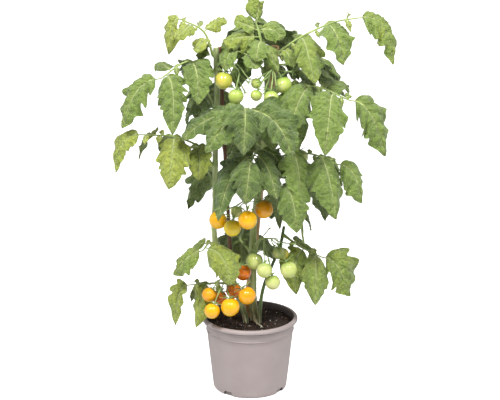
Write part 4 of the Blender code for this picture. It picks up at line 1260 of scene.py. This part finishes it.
def hair_shape():
    """A hair on a stem, one long and standing up, far thicker than life so that it shows."""
    mesh = bpy.data.meshes.new("hair_shape")
    base, length = 0.11 * MM, 1.5 * MM
    corners = [(base * math.cos(turn), base * math.sin(turn), 0.0) for turn in (0.0, 2.1, 4.2)]
    faces = [(2, 1, 0), (0, 1, 3), (1, 2, 3), (2, 0, 3)]
    mesh.from_pydata([*corners, (0.2 * length, 0.0, length)], [], faces)
    return object_of("hair_shape", mesh)


# ---------------------------------------------------------------- studio

def make_studio():
    """White surroundings that light from above and beside, two soft boxes, the floor and the camera."""
    scene = bpy.context.scene
    scene.view_settings.view_transform = "Standard"
    world = bpy.data.worlds.new("studio_surround")
    world.use_nodes = True
    tree = world.node_tree
    around = wired(tree, "ShaderNodeTexCoord", out="Generated")
    sideways, _, upward = wired(tree, "ShaderNodeSeparateXYZ", around).node.outputs
    overhead = wired(tree, "range", upward, -0.2, 0.9, *SURROUND_STRENGTH)
    beside = wired(tree, "range", wired(tree, "ABSOLUTE", sideways), 0.55, 1.0, 0.0, SIDE_STRENGTH)
    seen = wired(tree, "ShaderNodeLightPath", out="Is Camera Ray")
    strength = wired(tree, "range", seen, 0.0, 1.0, wired(tree, "ADD", overhead, beside), 1.0)
    fill(tree.nodes["Background"], {"Color": "#FFFFFF", "Strength": strength})
    scene.world = world

    middle = Vector((0.0, 0.0, (CAD_BOX[0].z + CAD_BOX[1].z) / 2))
    rise = math.radians(SOFT_BOX_ELEVATION)
    for number, azimuth in enumerate(SOFT_BOX_AZIMUTHS):
        back = Vector(level_direction(azimuth)) * math.cos(rise) + Vector(UP) * math.sin(rise)
        lamp = bpy.data.lights.new(f"soft_box_{number + 1}", "AREA")
        lamp.size = SOFT_BOX_SIZE
        lamp.energy = SOFT_BOX_POWER
        light = object_of(lamp.name, lamp)
        light.location = middle + back * SOFT_BOX_DISTANCE
        light.rotation_euler = back.to_track_quat("Z", "Y").to_euler()

    floor_mesh = bpy.data.meshes.new("studio_floor")
    floor_mesh.from_pydata([(-12, -6, 0), (12, -6, 0), (12, 30, 0), (-12, 30, 0)], [], [(0, 1, 2, 3)])
    floor_mesh.materials.append(matt_backdrop())
    object_of("studio_floor", floor_mesh)

    camera = bpy.data.cameras.new("camera")
    camera.lens = CAMERA_LENS
    camera.sensor_width = 36.0
    viewer = object_of("camera", camera)
    viewer.location = (0.0, -CAMERA_BACK, CAMERA_HEIGHT)
    viewer.rotation_euler = (math.radians(90 - CAMERA_PITCH), 0.0, 0.0)
    scene.camera = viewer


# ---------------------------------------------------------------- the plant

def main():
    rng = np.random.default_rng(41)
    trees = {"tomato": tomato_tree(), "scatter": scatter_tree(), "calyx": calyx_tree()}
    stalk = green_stalk("leaf_stalk_skin", "#6D8A3C", "#A9B96A")
    materials = {
        "stalk": green_stalk("fruit_stalk_skin", "#6A8B3E", "#A8BC72"),
        "sepal": green_stalk("sepal_skin", "#5F8436", "#9DB567"),
        "lime": tomato_skin("tomato_skin_yellow_green", "#D4C028", "#E0BE22", "#A9B43A", 0.4),
        "yellow": tomato_skin("tomato_skin_yellow", "#E9B60E", "#EAA80C", "#DDB020", 0.25),
        "orange": tomato_skin("tomato_skin_orange", "#E6A40E", "#E0960A", "#DDA61C", 0.3),
        "red": tomato_skin("tomato_skin_red_orange", "#D46A16", "#DE7C1A", "#CC7A20", 0.3),
        "green": tomato_skin("tomato_skin_green", "#A9BE54", "#C6CB7C", "#6F9630", 0.7),
        "pale": tomato_skin("tomato_skin_pale_green", "#B4C068", "#C8CC84", "#82A048", 0.6),
        "turning": tomato_skin("tomato_skin_turning", "#B4B848", "#CDBE52", "#7E9A34", 0.6),
        "peat": ground("peat", "#120D0A", "#2A1E17", 2.5),
        "crumb": ground("peat_crumb", "#150F0C", "#4E382A", 3.0),
        "bark": ground("composted_bark", "#2A1B12", "#7A5639", 4.0),
        "fibre": ground("coir_fibre", "#7A5A3C", "#B8966A", 5.0),
        "perlite": ground("perlite", "#D8D4CA", "#F6F4EE", 0.8, roughness=0.8, relief=0.3),
    }
    make_pot(moulded_polypropylene())
    make_soil(trees, materials, rng)
    make_rod("wooden_stake", STAKE, STAKE_RADIUS, 0.012,
             [planed_wood("turned_softwood", "#D9BE94", "#B08A58", 1.2),
              planed_wood("softwood_end_grain", "#E2C79C", "#C49A66", 0.8)], rng)
    make_rod("cane", CANE, CANE_RADIUS, 0.04,
             [planed_wood("peeled_cane", "#75503A", "#46301F", 0.8),
              planed_wood("cane_end", "#A87C54", "#6A4228", 0.6)], rng)

    curves = {name: SmoothCurve(stem["points"]) for name, stem in STEMS.items()}
    looks = {
        "stem_main": green_stalk("main_stem_skin", "#6F8742", "#A9B274", "#7C7A4C", POT_HEIGHT + 12),
        "stem_left": green_stalk("left_stem_skin", "#7C9350", "#B4BD86", "#3F4A24", POT_HEIGHT),
        "stem_shoot": green_stalk("shoot_skin", "#3F5A24", "#5F7A3A", "#4A5230", POT_HEIGHT),
    }
    hair = hair_shape()
    for number, (name, stem) in enumerate(STEMS.items()):
        joints = [grown_part["height"] for grown_part in (*LEAVES.values(), *TRUSSES.values())
                  if grown_part["stem"] == name]
        make_stem(name, stem, curves[name], joints, [looks[name], cut_pith()], rng)
        mesh = grown(bpy.data.objects[f"{name}_fine"].data.copy(), trees["scatter"], {
            "Shape": hair, "Density": HAIR_DENSITY, "Smallest": 0.5, "Largest": 1.1, "Lean": 0.5,
            "Seed": 31 + number, "Material": materials["sepal"]})
        finished(f"{name}_hairs", mesh, "stem")
    bpy.data.objects.remove(hair)
    blade = leaf_blade()
    for name, leaf in LEAVES.items():
        make_leaf(name, leaf, curves, [blade, stalk], rng)
    sepal = sepal_shape()
    for name, truss in TRUSSES.items():
        make_truss(name, truss, curves, trees, materials, sepal)
    bpy.data.objects.remove(sepal)
    make_studio()


main()
